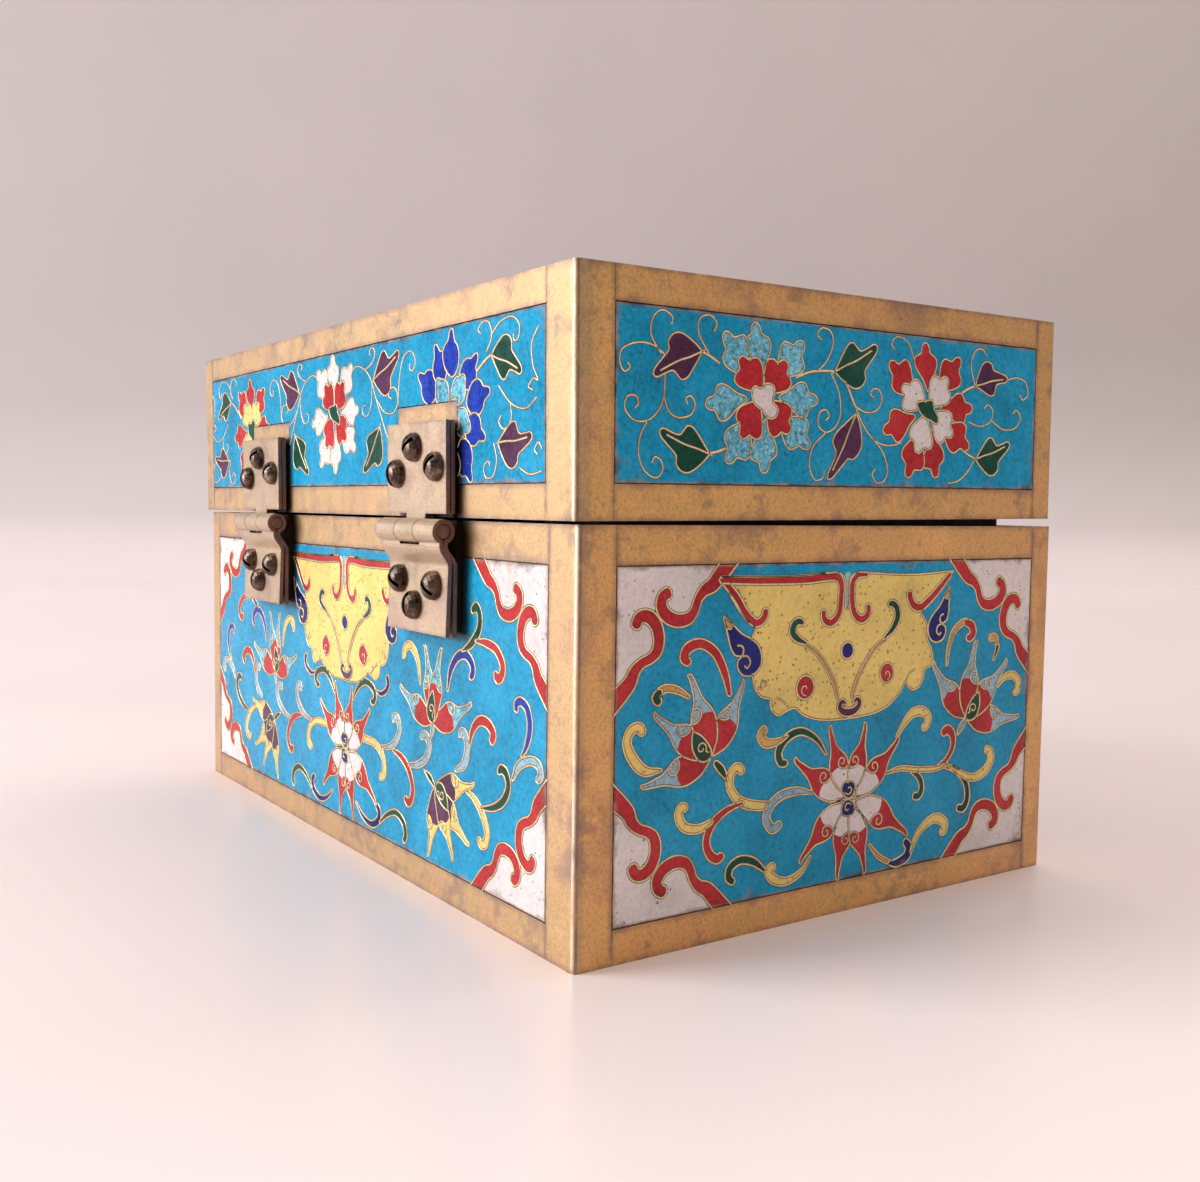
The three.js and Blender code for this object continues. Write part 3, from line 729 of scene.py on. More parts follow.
# Halves of petals, as (out, side) points.
OUTER_PETAL = (
    (3.2, 0.3), (4.8, 1.0), (6.1, 1.95), (7.3, 2.55), (8.3, 2.4), (8.75, 1.6), (9.1, 1.0), (9.9, 0.85),
    (10.5, 0.45), (10.65, 0.0),
)
ROUND_PETAL = (
    (5.0, 0.4), (5.7, 1.5), (6.9, 2.3), (8.2, 2.45), (9.3, 1.9), (9.9, 1.05), (10.7, 0.75), (11.4, 0.45),
    (11.6, 0.0),
)
SMALL_PETAL = (
    (1.6, 0.3), (2.5, 1.5), (3.8, 2.15), (5.0, 1.95), (5.8, 1.2), (6.4, 0.8), (6.8, 0.4), (6.9, 0.0),
)
INNER_PETAL = (
    (1.0, 0.3), (2.3, 1.6), (3.8, 2.65), (5.0, 2.75), (5.6, 2.0), (5.75, 1.15), (6.4, 0.85), (6.9, 0.5),
    (7.0, 0.0),
)


def round_petals(art, at, colour, half, angles, scale, lean):
    """Petals round a middle, each with its own scale and lean to one side."""
    outline = [*half, *((u, -v) for u, v in reversed(half[:-1]))]
    for i, angle in enumerate(angles):
        tilt = lean(i)
        leaning = [(u, v * (1 + tilt * (1 if v > 0 else -1)) + tilt * (u - 5)) for u, v in outline]
        art.blob(colour, turned(leaning, at, angle, scale(i)))


def round_flower(art, at, outer, inner, heart):
    """A flower from the front: outer and inner (colour, half petal, angles) and a (colour, points) heart."""
    round_petals(art, at, *outer, lambda i: 1.07 if i % 2 else 1.0, lambda i: 0.12 * math.sin(2.4 * i + 1))
    round_petals(art, at, *inner, lambda i: 1.0, lambda i: 0.08 * math.cos(2.1 * i))
    art.blob(heart[0], turned(heart[1], at))


QUATREFOIL = (
    (-2.2, 1.0), (-1.6, 1.6), (-0.4, 1.4), (0.6, 2.1), (1.9, 1.9), (2.2, 0.9), (1.9, -0.4), (2.9, -1.4),
    (2.4, -2.6), (1.1, -2.8), (-0.1, -1.8), (-1.6, -0.9), (-2.1, 0.1),
)
SLANT = (
    (-2.5, 1.2), (-0.6, 1.6), (1.0, 1.7), (1.5, 0.3), (2.4, -0.8), (2.2, -1.9), (0.8, -1.5), (-1.0, -0.9),
    (-2.0, 0.0),
)
SPREAD = (90, 47, 3, -40, -84, -127, 186, 137)
INNER_SPREAD = (127, 52, -41, -127)


# ---------------------------------------------------------------- the designs of the plaques
# Strokes are (colour, [(u, v, width), ...]) from the plaque's middle, in the order in which they are laid.
END_SCROLLS = (
    ("red", [(-23.2, 5.8, 0.8), (-24.2, 9, 1.3), (-26, 12, 1.4), (-28.6, 13.4, 1.4), (-30.9, 12.9, 1.6),
     (-31.6, 11.6, 1.5), (-30.8, 10.9, 1.2)]),
    ("tan", [(-30.6, 6, 0.5), (-32.6, 7.1, 1.0), (-34.5, 7.5, 1.1), (-35.9, 7.1, 1.2)]),
    ("green", [(-35.6, 7.2, 0.9), (-36.4, 6.4, 1.4), (-35.9, 5.7, 1.3)]),
    ("yellow", [(-35.3, -3.8, 0.4), (-38, -3.7, 1.4), (-40, -2, 1.6), (-41.2, 0.4, 1.4), (-40.6, 2.1, 1.4),
     (-39.2, 2.5, 1.4), (-38.6, 1.7, 1.3)]),
    ("yellow", [(-15.4, -11.3, 1.3), (-18.6, -10.8, 1.5), (-21.2, -9.7, 1.4), (-22.8, -7.6, 1.3),
     (-22.6, -5.7, 1.4), (-21.4, -4.9, 1.4), (-20.6, -5.6, 1.3)]),
    ("red", [(-20.3, -10.3, 0.5), (-23.4, -11, 1.0), (-26, -12.7, 1.3), (-27, -15, 1.3), (-26.3, -17, 1.4),
     (-24.9, -17.9, 1.4), (-24.1, -17.5, 1.2)]),
    ("yellow", [(-26, -12.2, 0.7), (-28.5, -13, 1.3), (-31, -12.4, 1.4), (-32.1, -10.7, 1.4),
     (-31.7, -9.6, 1.4), (-30.9, -9.6, 1.3)]),
    ("mist", [(-6.4, -10.4, 0.5), (-9.6, -9.8, 1.2), (-12.8, -10.1, 1.4), (-15, -11.5, 1.4),
     (-15.6, -13.3, 1.4), (-14.4, -14.9, 1.5), (-13, -14.4, 1.2)]),
    ("green", [(-15.7, -21, 0.6), (-18, -19.3, 1.2), (-20.5, -18.7, 1.3), (-22.4, -19.5, 1.3),
     (-22.7, -20.9, 1.3), (-21.9, -21.7, 1.1)]),
    ("yellow", [(-6.4, -20.2, 0.4), (-8.5, -22.4, 0.9), (-11.5, -23.3, 1.2), (-14, -22.5, 1.5),
     (-14.9, -21.2, 1.6), (-14.1, -20.6, 1.4)]),
    ("green", [(-3.7, -4.8, 0.4), (-5.8, -2.3, 0.9), (-9, -0.8, 1.2), (-12, -1.6, 1.4), (-13.5, -3.5, 1.4),
     (-13, -5.1, 1.3), (-11.9, -5.3, 1.0)]),
    ("tan", [(-11.7, -1.2, 0.3), (-13.8, -1.9, 1.0), (-16, -1.9, 1.5), (-17.1, -0.7, 1.4),
     (-16.4, 0.2, 1.3)]),
    ("yellow", [(11.8, -3.6, 0.5), (13.4, -1.6, 1.1), (15.3, -0.1, 1.5), (17.5, 0.1, 1.6), (19, -0.9, 1.5),
     (18.8, -2.3, 1.3), (18, -2.6, 1.2)]),
    ("green", [(15.2, -9.4, 0.4), (17.3, -10.7, 1.1), (18, -12.4, 1.2), (17.4, -13.7, 1.3),
     (16.3, -13.7, 1.2)]),
    ("red", [(21.2, -9.6, 0.5), (23.8, -8.5, 0.9), (25.3, -6.4, 1.1), (25.1, -4.4, 1.4), (23.9, -3.5, 1.6),
     (22.9, -3.9, 1.4)]),
    ("green", [(23, -9.4, 0.5), (26.4, -10.6, 1.0), (28.8, -12.8, 1.2), (29.4, -15.4, 1.3),
     (28.5, -17.1, 1.4), (27.2, -17, 1.2)]),
    ("yellow", [(24.2, -9.3, 0.4), (27, -10.9, 1.0), (30.5, -12.2, 1.3), (33.6, -11.5, 1.6),
     (35.2, -9.6, 1.6), (34.8, -8.1, 1.5), (33.9, -7.8, 1.3)]),
    ("yellow", [(9.6, -9.2, 0.4), (13, -8.8, 0.8), (17, -9.4, 0.9), (21, -9.7, 0.9), (24.4, -9.3, 0.5)]),
    ("tan", [(6.2, -20.2, 0.4), (8.4, -22.4, 0.8), (11.4, -24, 0.8)]),
    ("lapis", [(10.8, -23.9, 0.6), (12.6, -24.1, 1.4), (14.7, -23.5, 1.7), (15.4, -22, 1.6),
     (14.5, -20.9, 1.3)]),
    ("yellow", [(15.9, -22.8, 0.5), (17, -20.6, 1.0), (19, -18.8, 1.3), (21.5, -18, 1.6),
     (23.6, -18.8, 1.6), (23.9, -20.1, 1.5), (23.2, -20.6, 1.3)]),
    ("tan", [(23.2, 7.2, 0.4), (23.5, 10, 0.8), (24.6, 12.6, 1.0), (26.6, 14, 1.1), (28, 14.2, 1.2)]),
    ("red", [(27.4, 14.2, 1.0), (29, 13.6, 1.5), (29.6, 12.4, 1.5), (28.9, 11.5, 1.3), (28.2, 11.6, 1.1)]),
    ("green", [(35, 7.4, 0.4), (35.9, 9.3, 0.9), (35.8, 10.5, 1.0)]),
    ("tan", [(36, 10.2, 0.8), (35.2, 11.3, 1.2), (34, 11.2, 1.3)]),
    ("yellow", [(36.3, 2.8, 0.4), (38, 4.2, 1.0), (40.2, 4.5, 1.4), (41.8, 3.4, 1.5), (41.7, 1.9, 1.4),
     (41, 1.4, 1.2)]),
)

BACK_SCROLLS = (
    ("yellow", [(4.8, -9, 0.5), (9, -8.9, 1.3), (13, -9.1, 1.3), (16, -10.4, 1.4), (17, -12.5, 1.5),
     (16.5, -14, 1.6), (15.4, -14.5, 1.3)]),
    ("mist", [(15.4, -9.3, 0.5), (18.8, -8.7, 1.0), (21.5, -7.3, 1.3), (22.9, -5.1, 1.4), (22.3, -3.5, 1.5),
     (21.1, -3.2, 1.4), (20.6, -3.9, 1.2)]),
    ("red", [(20.4, -9.0, 0.5), (23.5, -9.6, 1.2), (26.3, -11.2, 1.4), (27.9, -13.8, 1.3),
     (27.5, -15.9, 1.4), (26.2, -16.8, 1.5), (25.2, -16.3, 1.2)]),
    ("mist", [(26.3, -10.4, 0.5), (29.5, -9.9, 1.1), (32.4, -8.5, 1.3), (33.9, -6.4, 1.4),
     (33.2, -4.9, 1.4), (31.9, -4.6, 1.4), (31.1, -5.1, 1.1)]),
    ("green", [(3.8, -2.6, 0.5), (6, -0.2, 1.0), (9, 1.2, 1.2), (12, 0.6, 1.3), (13.2, -0.7, 1.3),
     (12.5, -1.9, 1.2), (11.5, -1.9, 1.0)]),
    ("lapis", [(13.5, 0.2, 0.4), (15.5, -0.1, 0.9), (17.7, 0.8, 1.1), (18.5, 2.1, 1.2), (18, 3.1, 1.1)]),
    ("lapis", [(5, -20.9, 0.4), (8, -22.9, 0.9), (11.5, -23.6, 1.2), (14.4, -22.4, 1.5), (14.9, -20.7, 1.4),
     (14, -19.9, 1.2)]),
    ("green", [(15.2, -22.5, 0.5), (18, -20.6, 0.9), (21.5, -19.5, 1.1), (24.4, -20.5, 1.3),
     (25.3, -22.4, 1.3), (24.7, -23.6, 1.1)]),
    ("yellow", [(30.6, 3.4, 0.4), (30, 6.4, 1.0), (28.6, 8.5, 1.3), (26.6, 9.4, 1.4), (24.9, 8.6, 1.4),
     (24.5, 7.3, 1.2)]),
    ("royal", [(40.0, 3.6, 0.5), (41, 6.9, 1.3), (43.2, 9.2, 1.5), (45.8, 9.8, 1.5), (47.8, 8.6, 1.5),
     (48, 7.2, 1.5), (47.3, 6.6, 1.1)]),
    ("green", [(44.6, 10.3, 0.3), (47.4, 11.6, 1.3), (49.7, 13.8, 1.5), (50.1, 16, 1.4), (49, 17.3, 1.5),
     (47.8, 16.7, 1.2)]),
    ("red", [(48.8, 12.2, 0.4), (52, 12.2, 1.2), (55, 11.5, 1.4), (56.9, 9.5, 1.5), (56.6, 7.9, 1.5),
     (55.4, 7.3, 1.5), (54.8, 8, 1.1)]),
    ("red", [(47.2, -3.9, 0.5), (48, -1.5, 1.2), (50, 0.3, 1.5), (52.5, 0.4, 1.6), (54.4, -0.9, 1.6),
     (53.9, -2.1, 1.4)]),
    ("mist", [(42.8, -8.4, 0.6), (45.4, -7, 1.5), (46.4, -4.6, 1.5), (46, -2.7, 1.5), (44.8, -2.1, 1.4),
     (44.1, -2.8, 1.0)]),
    ("yellow", [(45.5, -10.8, 0.3), (48.5, -11.5, 1.0), (51.1, -13.3, 1.4), (52.7, -15.7, 1.5),
     (52.2, -17.6, 1.5), (51, -18.1, 1.4), (50.2, -17.5, 1.1)]),
    ("green", [(50.7, -12.7, 0.4), (54.5, -11.8, 1.1), (57.4, -10.2, 1.4), (58.8, -7.9, 1.4),
     (58.1, -6.1, 1.5), (56.7, -5.7, 1.4), (56, -6.3, 1.0)]),
    ("mist", [(60, -6.6, 0.6), (61.6, -4.4, 1.3), (64.5, -3.1, 1.3), (66.9, -3.3, 1.4), (67.6, -4.7, 1.3),
     (66.6, -5.5, 1.0)]),
    ("royal", [(62.4, -2.9, 0.4), (63.8, -1, 1.1), (64.6, 1.6, 1.4), (63.9, 4, 1.4), (62.1, 4.9, 1.3),
     (60.9, 4.4, 1.3), (60.9, 3.4, 1.0)]),
)

LID_END_TENDRILS = (
    [(-34.5, 5.2), (-36.8, 6.6), (-39.5, 6.8), (-42, 5.8), (-42.4, 4), (-41.6, 2.9), (-40.7, 3.5),
     (-41.2, 4.1)],
    [(-35.6, 5.6), (-37.3, 8), (-37, 10.3), (-35.5, 11.4), (-33.8, 10.7), (-33.9, 9.6)],
    [(-34.9, 3), (-35.1, 0), (-36, -2), (-37.8, -3.4), (-40, -3.4), (-41.5, -2), (-41.2, -0.4),
     (-39.8, -0.2), (-39.3, -1.2), (-39.9, -1.8)],
    [(-35.1, 0), (-34.2, -2), (-32.5, -2.8), (-30.4, -2.3), (-29.7, -0.8), (-30.4, 0.2), (-31.3, -0.1),
     (-31, -0.9)],
    [(-37.8, -3.4), (-39, -5.5), (-39.2, -8), (-38.2, -10.1), (-36.3, -11), (-35.2, -10), (-35.4, -8.7),
     (-36.5, -8.2), (-37, -9)],
    [(-27.4, 6.2), (-29.2, 8.8), (-29, 10.8), (-27.2, 11.4), (-26, 10.4), (-26.5, 9.3)],
    [(-6.5, 5.2), (-4.8, 6.8), (-3.7, 9.2), (-4.2, 11), (-6, 11.4), (-6.9, 10.4), (-6, 9.7)],
    [(-4, 5), (-2.3, 2.2), (-1.9, -1), (-3, -3), (-4.8, -3.8), (-6.4, -2.8), (-6.2, -1), (-4.9, -0.5),
     (-4.2, -1.4), (-4.9, -2)],
    [(-4.8, -3.8), (-7.4, -6), (-8.1, -8.6), (-7, -10.8), (-5.4, -10.6), (-5, -9.4)],
    [(1.5, 0.2), (3.5, -0.5), (5.8, -0.1), (6.9, 1.5), (6.3, 3), (5, 3.1), (4.4, 2.3), (5.2, 1.8)],
    [(1.4, 0.1), (2.5, -1.8), (4.5, -4), (7, -5.2), (9.5, -5.3), (11.5, -4.8)],
    [(5.2, -4.4), (7.4, -6.5), (8.5, -9), (7.8, -10.8), (6.2, -11.1), (5.1, -9.9), (5.8, -9)],
    [(14, 8), (12.6, 10.6), (10.2, 11.4), (8.8, 10.4), (9.4, 9.4)],
    [(28.6, 4.8), (27.5, 8), (28.4, 10.4), (30.2, 10.9), (31.2, 9.9)],
    [(36.5, 6.2), (39, 6.8), (41.5, 6.2), (42.2, 4.2), (40.9, 3.2), (40, 4.1)],
    [(27.2, -1), (30, -1.6), (32.6, -0.8), (33.2, 1), (32, 2), (30.9, 1.3)],
    [(33, -0.6), (36, -1.9), (39, -1.6), (40.4, 0.1), (39.4, 1.4), (38.3, 0.8)],
    [(28.9, -7), (27.3, -9), (25, -10.6), (22.5, -11)],
)

LID_END_STEMS = (
    [(-11, 3.9), (-8, 4.9), (-5, 5.2), (-3, 5.1), (-0.8, 3.6), (0.8, 1), (1.5, 0.1)],
    [(-25.4, 5.0), (-27, 5.8), (-28.6, 6.4)],
    [(-24.0, -6.7), (-25.6, -7.2), (-27.2, -7.5)],
    [(25.4, 3.6), (27.2, 4.4), (28.8, 4.9)],
    [(25.6, -5.4), (27.4, -6.3), (29.4, -7.0)],
)

LID_END_LEAVES = (  # colour, foot, tip, whether its broad lobe is on the left, and its width if special
    ("purple", (-28.5, 6.4), (-36.8, 2.6), False),
    ("green", (-27.0, -7.6), (-35.7, -4.5), True),
    ("green", (-3.2, 5.2), (5.6, 9.7), False),
    ("purple", (1.5, -0.7), (-4.3, -10.7), True, 0.62),
    ("purple", (28.7, 4.9), (36.8, 6.3), True),
    ("green", (29.2, -7.0), (37.7, -4.1), False),
)

LID_LONG_TENDRILS = (
    [(5.5, 7.8), (8, 8.7), (11.5, 7.8), (14, 5.8), (16, 2.5), (19, -2), (21.5, -6), (22.5, -10)],
    [(11.8, 7.9), (14.4, 8.8), (15.6, 10.2), (14.7, 11.3), (13.4, 10.9), (13.7, 10)],
    [(14.4, 5.2), (14, 2), (12.5, 0.1), (10.6, 0.3), (10.3, 1.6), (11.5, 1.8)],
    [(15.8, 2.8), (19, 0.4), (22.5, 0), (24.3, 1.7), (23.7, 3.7), (21.8, 4.1), (20.8, 2.9), (21.9, 2.3)],
    [(24.4, 1), (25, 5.5), (26.5, 8.6), (29, 9.4), (30.7, 8), (30.1, 6.4), (28.8, 6.5), (28.9, 7.5)],
    [(53.6, 7), (55.1, 9), (54.4, 11), (52.6, 11.4), (51.2, 10.4), (52, 9.7)],
    [(54.9, 9.2), (57.5, 10.8), (60.8, 11.2), (62.8, 9.8), (62.5, 8.1), (61.3, 7.9), (61.2, 8.9)],
    [(57, 2), (60.5, -0.7), (64.4, -1.6), (67.4, -0.3)],
    [(60.4, -0.6), (60.6, -3), (58.6, -4.2), (57.1, -3.1), (57.9, -2.2)],
    [(67.8, 9.2), (66, 7), (66.4, 4), (67.7, 2), (66.5, 2.3), (65.2, 1.3), (66.4, 0.7)],
    [(55.7, -6), (56.5, -8.4), (55.5, -10.7), (53.4, -10.9), (52.8, -9.3), (54.1, -8.6), (54.7, -9.4)],
    [(62.7, -9.6), (65.5, -10.6), (68.6, -10.2)],
    [(68.8, -7.3), (67.8, -6.3), (66.8, -7.3), (67.6, -8)],
)

LID_LONG_STEMS = ([(48, 2.6), (51.6, 5), (54.0, 6.2), (55.4, 6.4)],)
LID_LONG_LEAVES = (  # colour, foot, tip and whether its broad lobe is on the left
    ("purple", (14.8, 5.9), (24.8, 9.8), False),
    ("green", (17.4, -2.0), (10.5, -9.4), True),
    ("green", (55, 6.4), (63.4, 3.3), True),
    ("purple", (56.8, -6.0), (66.2, -5.2), False),
)

BASE_WIRE, LID_WIRE = 0.28, 0.25  # usual widths of the cloisons
STEM_WIRE = 1.6  # how much wider a vine's stems are

# (angle, length, side of the shoulder) of the petals of each side-view lotus, the hidden ones first
SIDE_LOTUS = ((192.5, 13.0, -1), (145, 12.8, -1), (62.5, 12.3, 1), (110.5, 13.1, 1))
SIDE_LOTUS_FAR = ((-2, 14.1, 1), (43, 14.0, 1), (130, 13.2, -1), (80, 13.4, -1))
UPRIGHT_LOTUS = ((158, 13.0, -1), (22, 13.8, 1), (104, 12.9, 1), (76, 12.9, -1))
HANGING_LOTUS = ((13, 13.2, 1), (-103, 12.4, -1), (-31, 13.4, 1), (-61, 12.4, -1))


def base_end_art(outline):
    art = Art(outline, BASE_WIRE)
    corner_fields(art)
    for colour, points in END_SCROLLS:
        art.stroke(colour, points)
    collar(art, 0.0, pulled=True)
    comma_leaf(art, (-20.3, 12.3), False)
    comma_leaf(art, (20.8, 14.9), True, 15, 0.9)
    art.stroke("green", [(-23.3, -6.6, 0.2), (-24.4, -5.0, 1.2), (-25.6, -3.8, 0.9)])
    art.stroke("mist", [(26.4, -4.6, 0.2), (27.2, -3.4, 1.2), (28.2, -2.4, 0.8)])
    lotus(art, (-26.3, -2.9), SIDE_LOTUS, "red", "mist", 131)
    lotus(art, (28.4, -2.0), SIDE_LOTUS_FAR, "red", "mist", 54, -1)
    star_lotus(art, (1.1, -12.2))
    return art


def base_long_art(outline):
    """The long walls' design, with both halves alike."""
    art = Art(outline, BASE_WIRE)
    corner_fields(art)
    middle = -0.3
    for colour, points in BACK_SCROLLS:
        art.stroke(colour, [(2 * middle - u, v, w) for u, v, w in points])
    for colour, points in BACK_SCROLLS:
        art.stroke(colour, points)
    collar(art, middle, near=1)
    comma_leaf(art, (middle - 20.6, 13.0), False)
    comma_leaf(art, (middle + 20.6, 13.0), True)
    for s in (-1, 1):
        at = middle + s * 35.3
        art.stroke("mist", [(at - s * 0.9, -5.0, 0.3), (at - s * 0.1, -3.4, 1.1), (at, -2.4, 0.8)])
        lotus(art, (at, -2.3), sided(UPRIGHT_LOTUS, s), "red", "pale_blue", 90, s)
        at = middle + s * 36.3
        sprout = [(at - s * 4.0, -10.3, 0.2), (at - s * 2.0, -11.1, 1.1), (at - s * 0.5, -12.1, 0.7)]
        art.stroke("green", sprout)
        lotus(art, (at, -12.2), sided(HANGING_LOTUS, s), "purple", "yellow", -36 if s > 0 else 216, s)
    star_lotus(art, (middle, -12.0))
    return art


def sided(petals, side):
    """A lotus's petals as drawn (1) or mirrored (-1)."""
    return [(a if side > 0 else 180 - a, length, side * shoulder) for a, length, shoulder in petals]


def vines(art, tendrils, stems, leaves, put=lambda point: point, flip=False):
    """Tendrils, stems and leaves, with each point moved by put; flip turns every leaf's lobes over."""
    for wire, runs in ((1.0, tendrils), (STEM_WIRE, stems)):
        for points in runs:
            art.line([put(p) for p in points], wire)
    for colour, foot, tip, left, *wide in leaves:
        vine_leaf(art, colour, put(foot), put(tip), left != flip, *wide)


def lid_end_art(outline):
    art = Art(outline, LID_WIRE)
    vines(art, LID_END_TENDRILS, LID_END_STEMS, LID_END_LEAVES)
    round_flower(art, (-17.3, 0.6), ("pale_blue", OUTER_PETAL, (96, 49, 3, -40, -84, -127, 186, 134)),
                 ("red", INNER_PETAL, (127, 52, -41, -127)), ("white", QUATREFOIL))
    round_flower(art, (17.4, 0.3), ("red", OUTER_PETAL, (92, 51, 7, -33, -74, -115, 198, 145)),
                 ("white", INNER_PETAL, (147, 52, -31, -111)), ("green", SLANT))
    return art


def lid_long_art(outline):
    art = Art(outline, LID_WIRE)
    middle = -2.0
    vine = LID_LONG_TENDRILS, LID_LONG_STEMS, LID_LONG_LEAVES
    vines(art, *vine)
    vines(art, *vine, lambda point: (2 * middle - point[0], point[1]), True)
    royal = ("royal", ROUND_PETAL, (186, 150, 117, 84, 47, 10, -23, -54, -90, -130))
    pale = ("pale_blue", SMALL_PETAL, (129, 50, -23, -95, -165))
    round_flower(art, (42.5, -1.0), royal, pale, ("white", QUATREFOIL))
    for u, v, outer, inner, heart in ((middle, 1.0, "white", "red", SLANT),
                                      (2 * middle - 42, 0.0, "red", "yellow", QUATREFOIL)):
        round_flower(art, (u, v), (outer, OUTER_PETAL, SPREAD), (inner, INNER_PETAL, INNER_SPREAD),
                     ("green", heart))
    return art


def top_art(outline):
    """The guessed top: the long walls' scrolls in each quarter round one star."""
    art = Art(outline, BASE_WIRE)
    corner_fields(art)
    for s in (-1, 1):
        for t in (-1, 1):
            for colour, points in BACK_SCROLLS:
                art.stroke(colour, [(s * u * 0.98, t * (v + 24), w) for u, v, w in points])
            petals = [(t * a, length, t * shoulder) for a, length, shoulder in sided(UPRIGHT_LOTUS, s)]
            lotus(art, (s * 35.0, t * 21.5), petals, "red", "pale_blue", t * 90, s * t)
    star_lotus(art, (0, 0))
    return art


# ---------------------------------------------------------------- plaques in their places
MIDDLES = {"base": Vector((0.0, 0.0, 30.0)), "lid": Vector((0.0, 1.1, 77.25))}  # of a drawing's u and v
GROOVE = 0.18  # between a hinge pad and the enamel round it
# A pair of hinge pads on the back: distance from the middle, half the width and how high its end is.
PADS = {
    "base": (35.0, 9.4 + GROOVE, 43.4 - GROOVE),
    "lid": (34.5, 10.15 + GROOVE, 77.8 + GROOVE),
}
FACING = {  # outward and to the right, as seen from outside
    "left": ((-1, 0, 0), (0, -1, 0)),
    "right": ((1, 0, 0), (0, 1, 0)),
    "front": ((0, -1, 0), (1, 0, 0)),
    "back": ((0, 1, 0), (-1, 0, 0)),
    "top": ((0, 0, 1), (1, 0, 0)),
}


def lid_turn(angle):
    pivot = Matrix.Translation(HINGE["pos_m"])
    return pivot @ Matrix.Rotation(angle, 4, "X") @ pivot.inverted()


class Plaque:
    """Where a plaque is: its closed-lid box in millimetres and the map from its drawing to the world."""

    def __init__(self, body, side):
        self.body, self.side = body, side
        self.node = f"{body}_enamel_{side}"
        tilt = lid_turn(-AJAR) if body == "lid" else Matrix.Identity(4)
        flat = tilt.inverted()
        corners_mm = np.array([tuple(flat @ v.co / MM) for v in frame["nodes"][self.node].data.vertices])
        ends = [Vector(c) for c in (corners_mm.min(0), corners_mm.max(0))]
        outward, right = (Vector(d) for d in FACING[side])
        up = outward.cross(right)
        reach = [end.dot(outward) for end in ends]
        origin = MIDDLES[body] - outward * MIDDLES[body].dot(outward) + outward * max(reach)
        self.thick = abs(reach[1] - reach[0])
        axes = Matrix((right, up, outward)).transposed().to_4x4()
        self.matrix = tilt @ Matrix.Scale(MM, 4) @ Matrix.Translation(origin) @ axes
        self.u, self.v = (sorted((end - origin).dot(axis) for end in ends) for axis in (right, up))

    def outline(self):
        """The plaque's edge in its drawing, which on the back goes round the hinge pads."""
        (u0, u1), (v0, v1) = self.u, self.v
        if self.side != "back":
            return [(u0, v0), (u1, v0), (u1, v1), (u0, v1)]
        middle, half, top = PADS[self.body]
        height = top - MIDDLES[self.body].z

        def notched(edge):
            rounds = (-half, edge), (-half, height), (half, height), (half, edge)
            return [(s * middle + u, v) for s in (-1, 1) for u, v in rounds]

        if self.body == "lid":
            return [(u0, v0)] + notched(v0) + [(u1, v0), (u1, v1), (u0, v1)]
        return [(u0, v0), (u1, v0), (u1, v1)] + notched(v1)[::-1] + [(u0, v1)]


def make_plate(plaque, art, materials):
    """The enamel as one closed plate whose front is divided into the coloured cells."""
    verts, faces, colours = art.partition()
    used = sorted(set(colours))
    mesh = bpy.data.meshes.new(f"{plaque.node}_plate")
    for colour in used:
        mesh.materials.append(materials[colour])
    bm = bmesh.new()
    vs = [bm.verts.new((u, v, 0)) for u, v in verts]
    for face, colour in zip(faces, colours):
        bm.faces.new([vs[i] for i in face]).material_index = used.index(colour)
    bmesh.ops.delete(bm, geom=[v for v in bm.verts if not v.link_faces], context="VERTS")
    rim = [e for e in bm.edges if e.is_boundary]
    walls = bmesh.ops.extrude_edge_only(bm, edges=rim)["geom"]
    for v in (g for g in walls if isinstance(g, bmesh.types.BMVert)):
        v.co.z = -plaque.thick
    bmesh.ops.holes_fill(bm, edges=[e for e in bm.edges if e.is_boundary], sides=0)
    bmesh.ops.recalc_face_normals(bm, faces=bm.faces)
    (u0, u1), (v0, v1) = plaque.u, plaque.v
    low, high = (bm.verts.layers.float_vector.new(name) for name in EDGE_DISTANCES)
    for v in bm.verts:
        v[low], v[high] = (v.co.x - u0, v.co.y - v0, 0), (u1 - v.co.x, v1 - v.co.y, 0)
    bm.transform(plaque.matrix)
    bm.to_mesh(mesh)
    bm.free()
    plate = link(f"{plaque.node}_plate", mesh)
    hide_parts(plaque.node)
    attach(plate, plaque.body)


WIRE_RISE, WIRE_SINK = 0.07, 0.05
SOIL_WIDTH, SOIL_RISE = 0.08, 0.01  # the dirt that lies along both sides of a cloison
WIRE_PROFILE = ((-0.5, -WIRE_SINK), (0.5, -WIRE_SINK), (0.34, WIRE_RISE), (-0.34, WIRE_RISE))


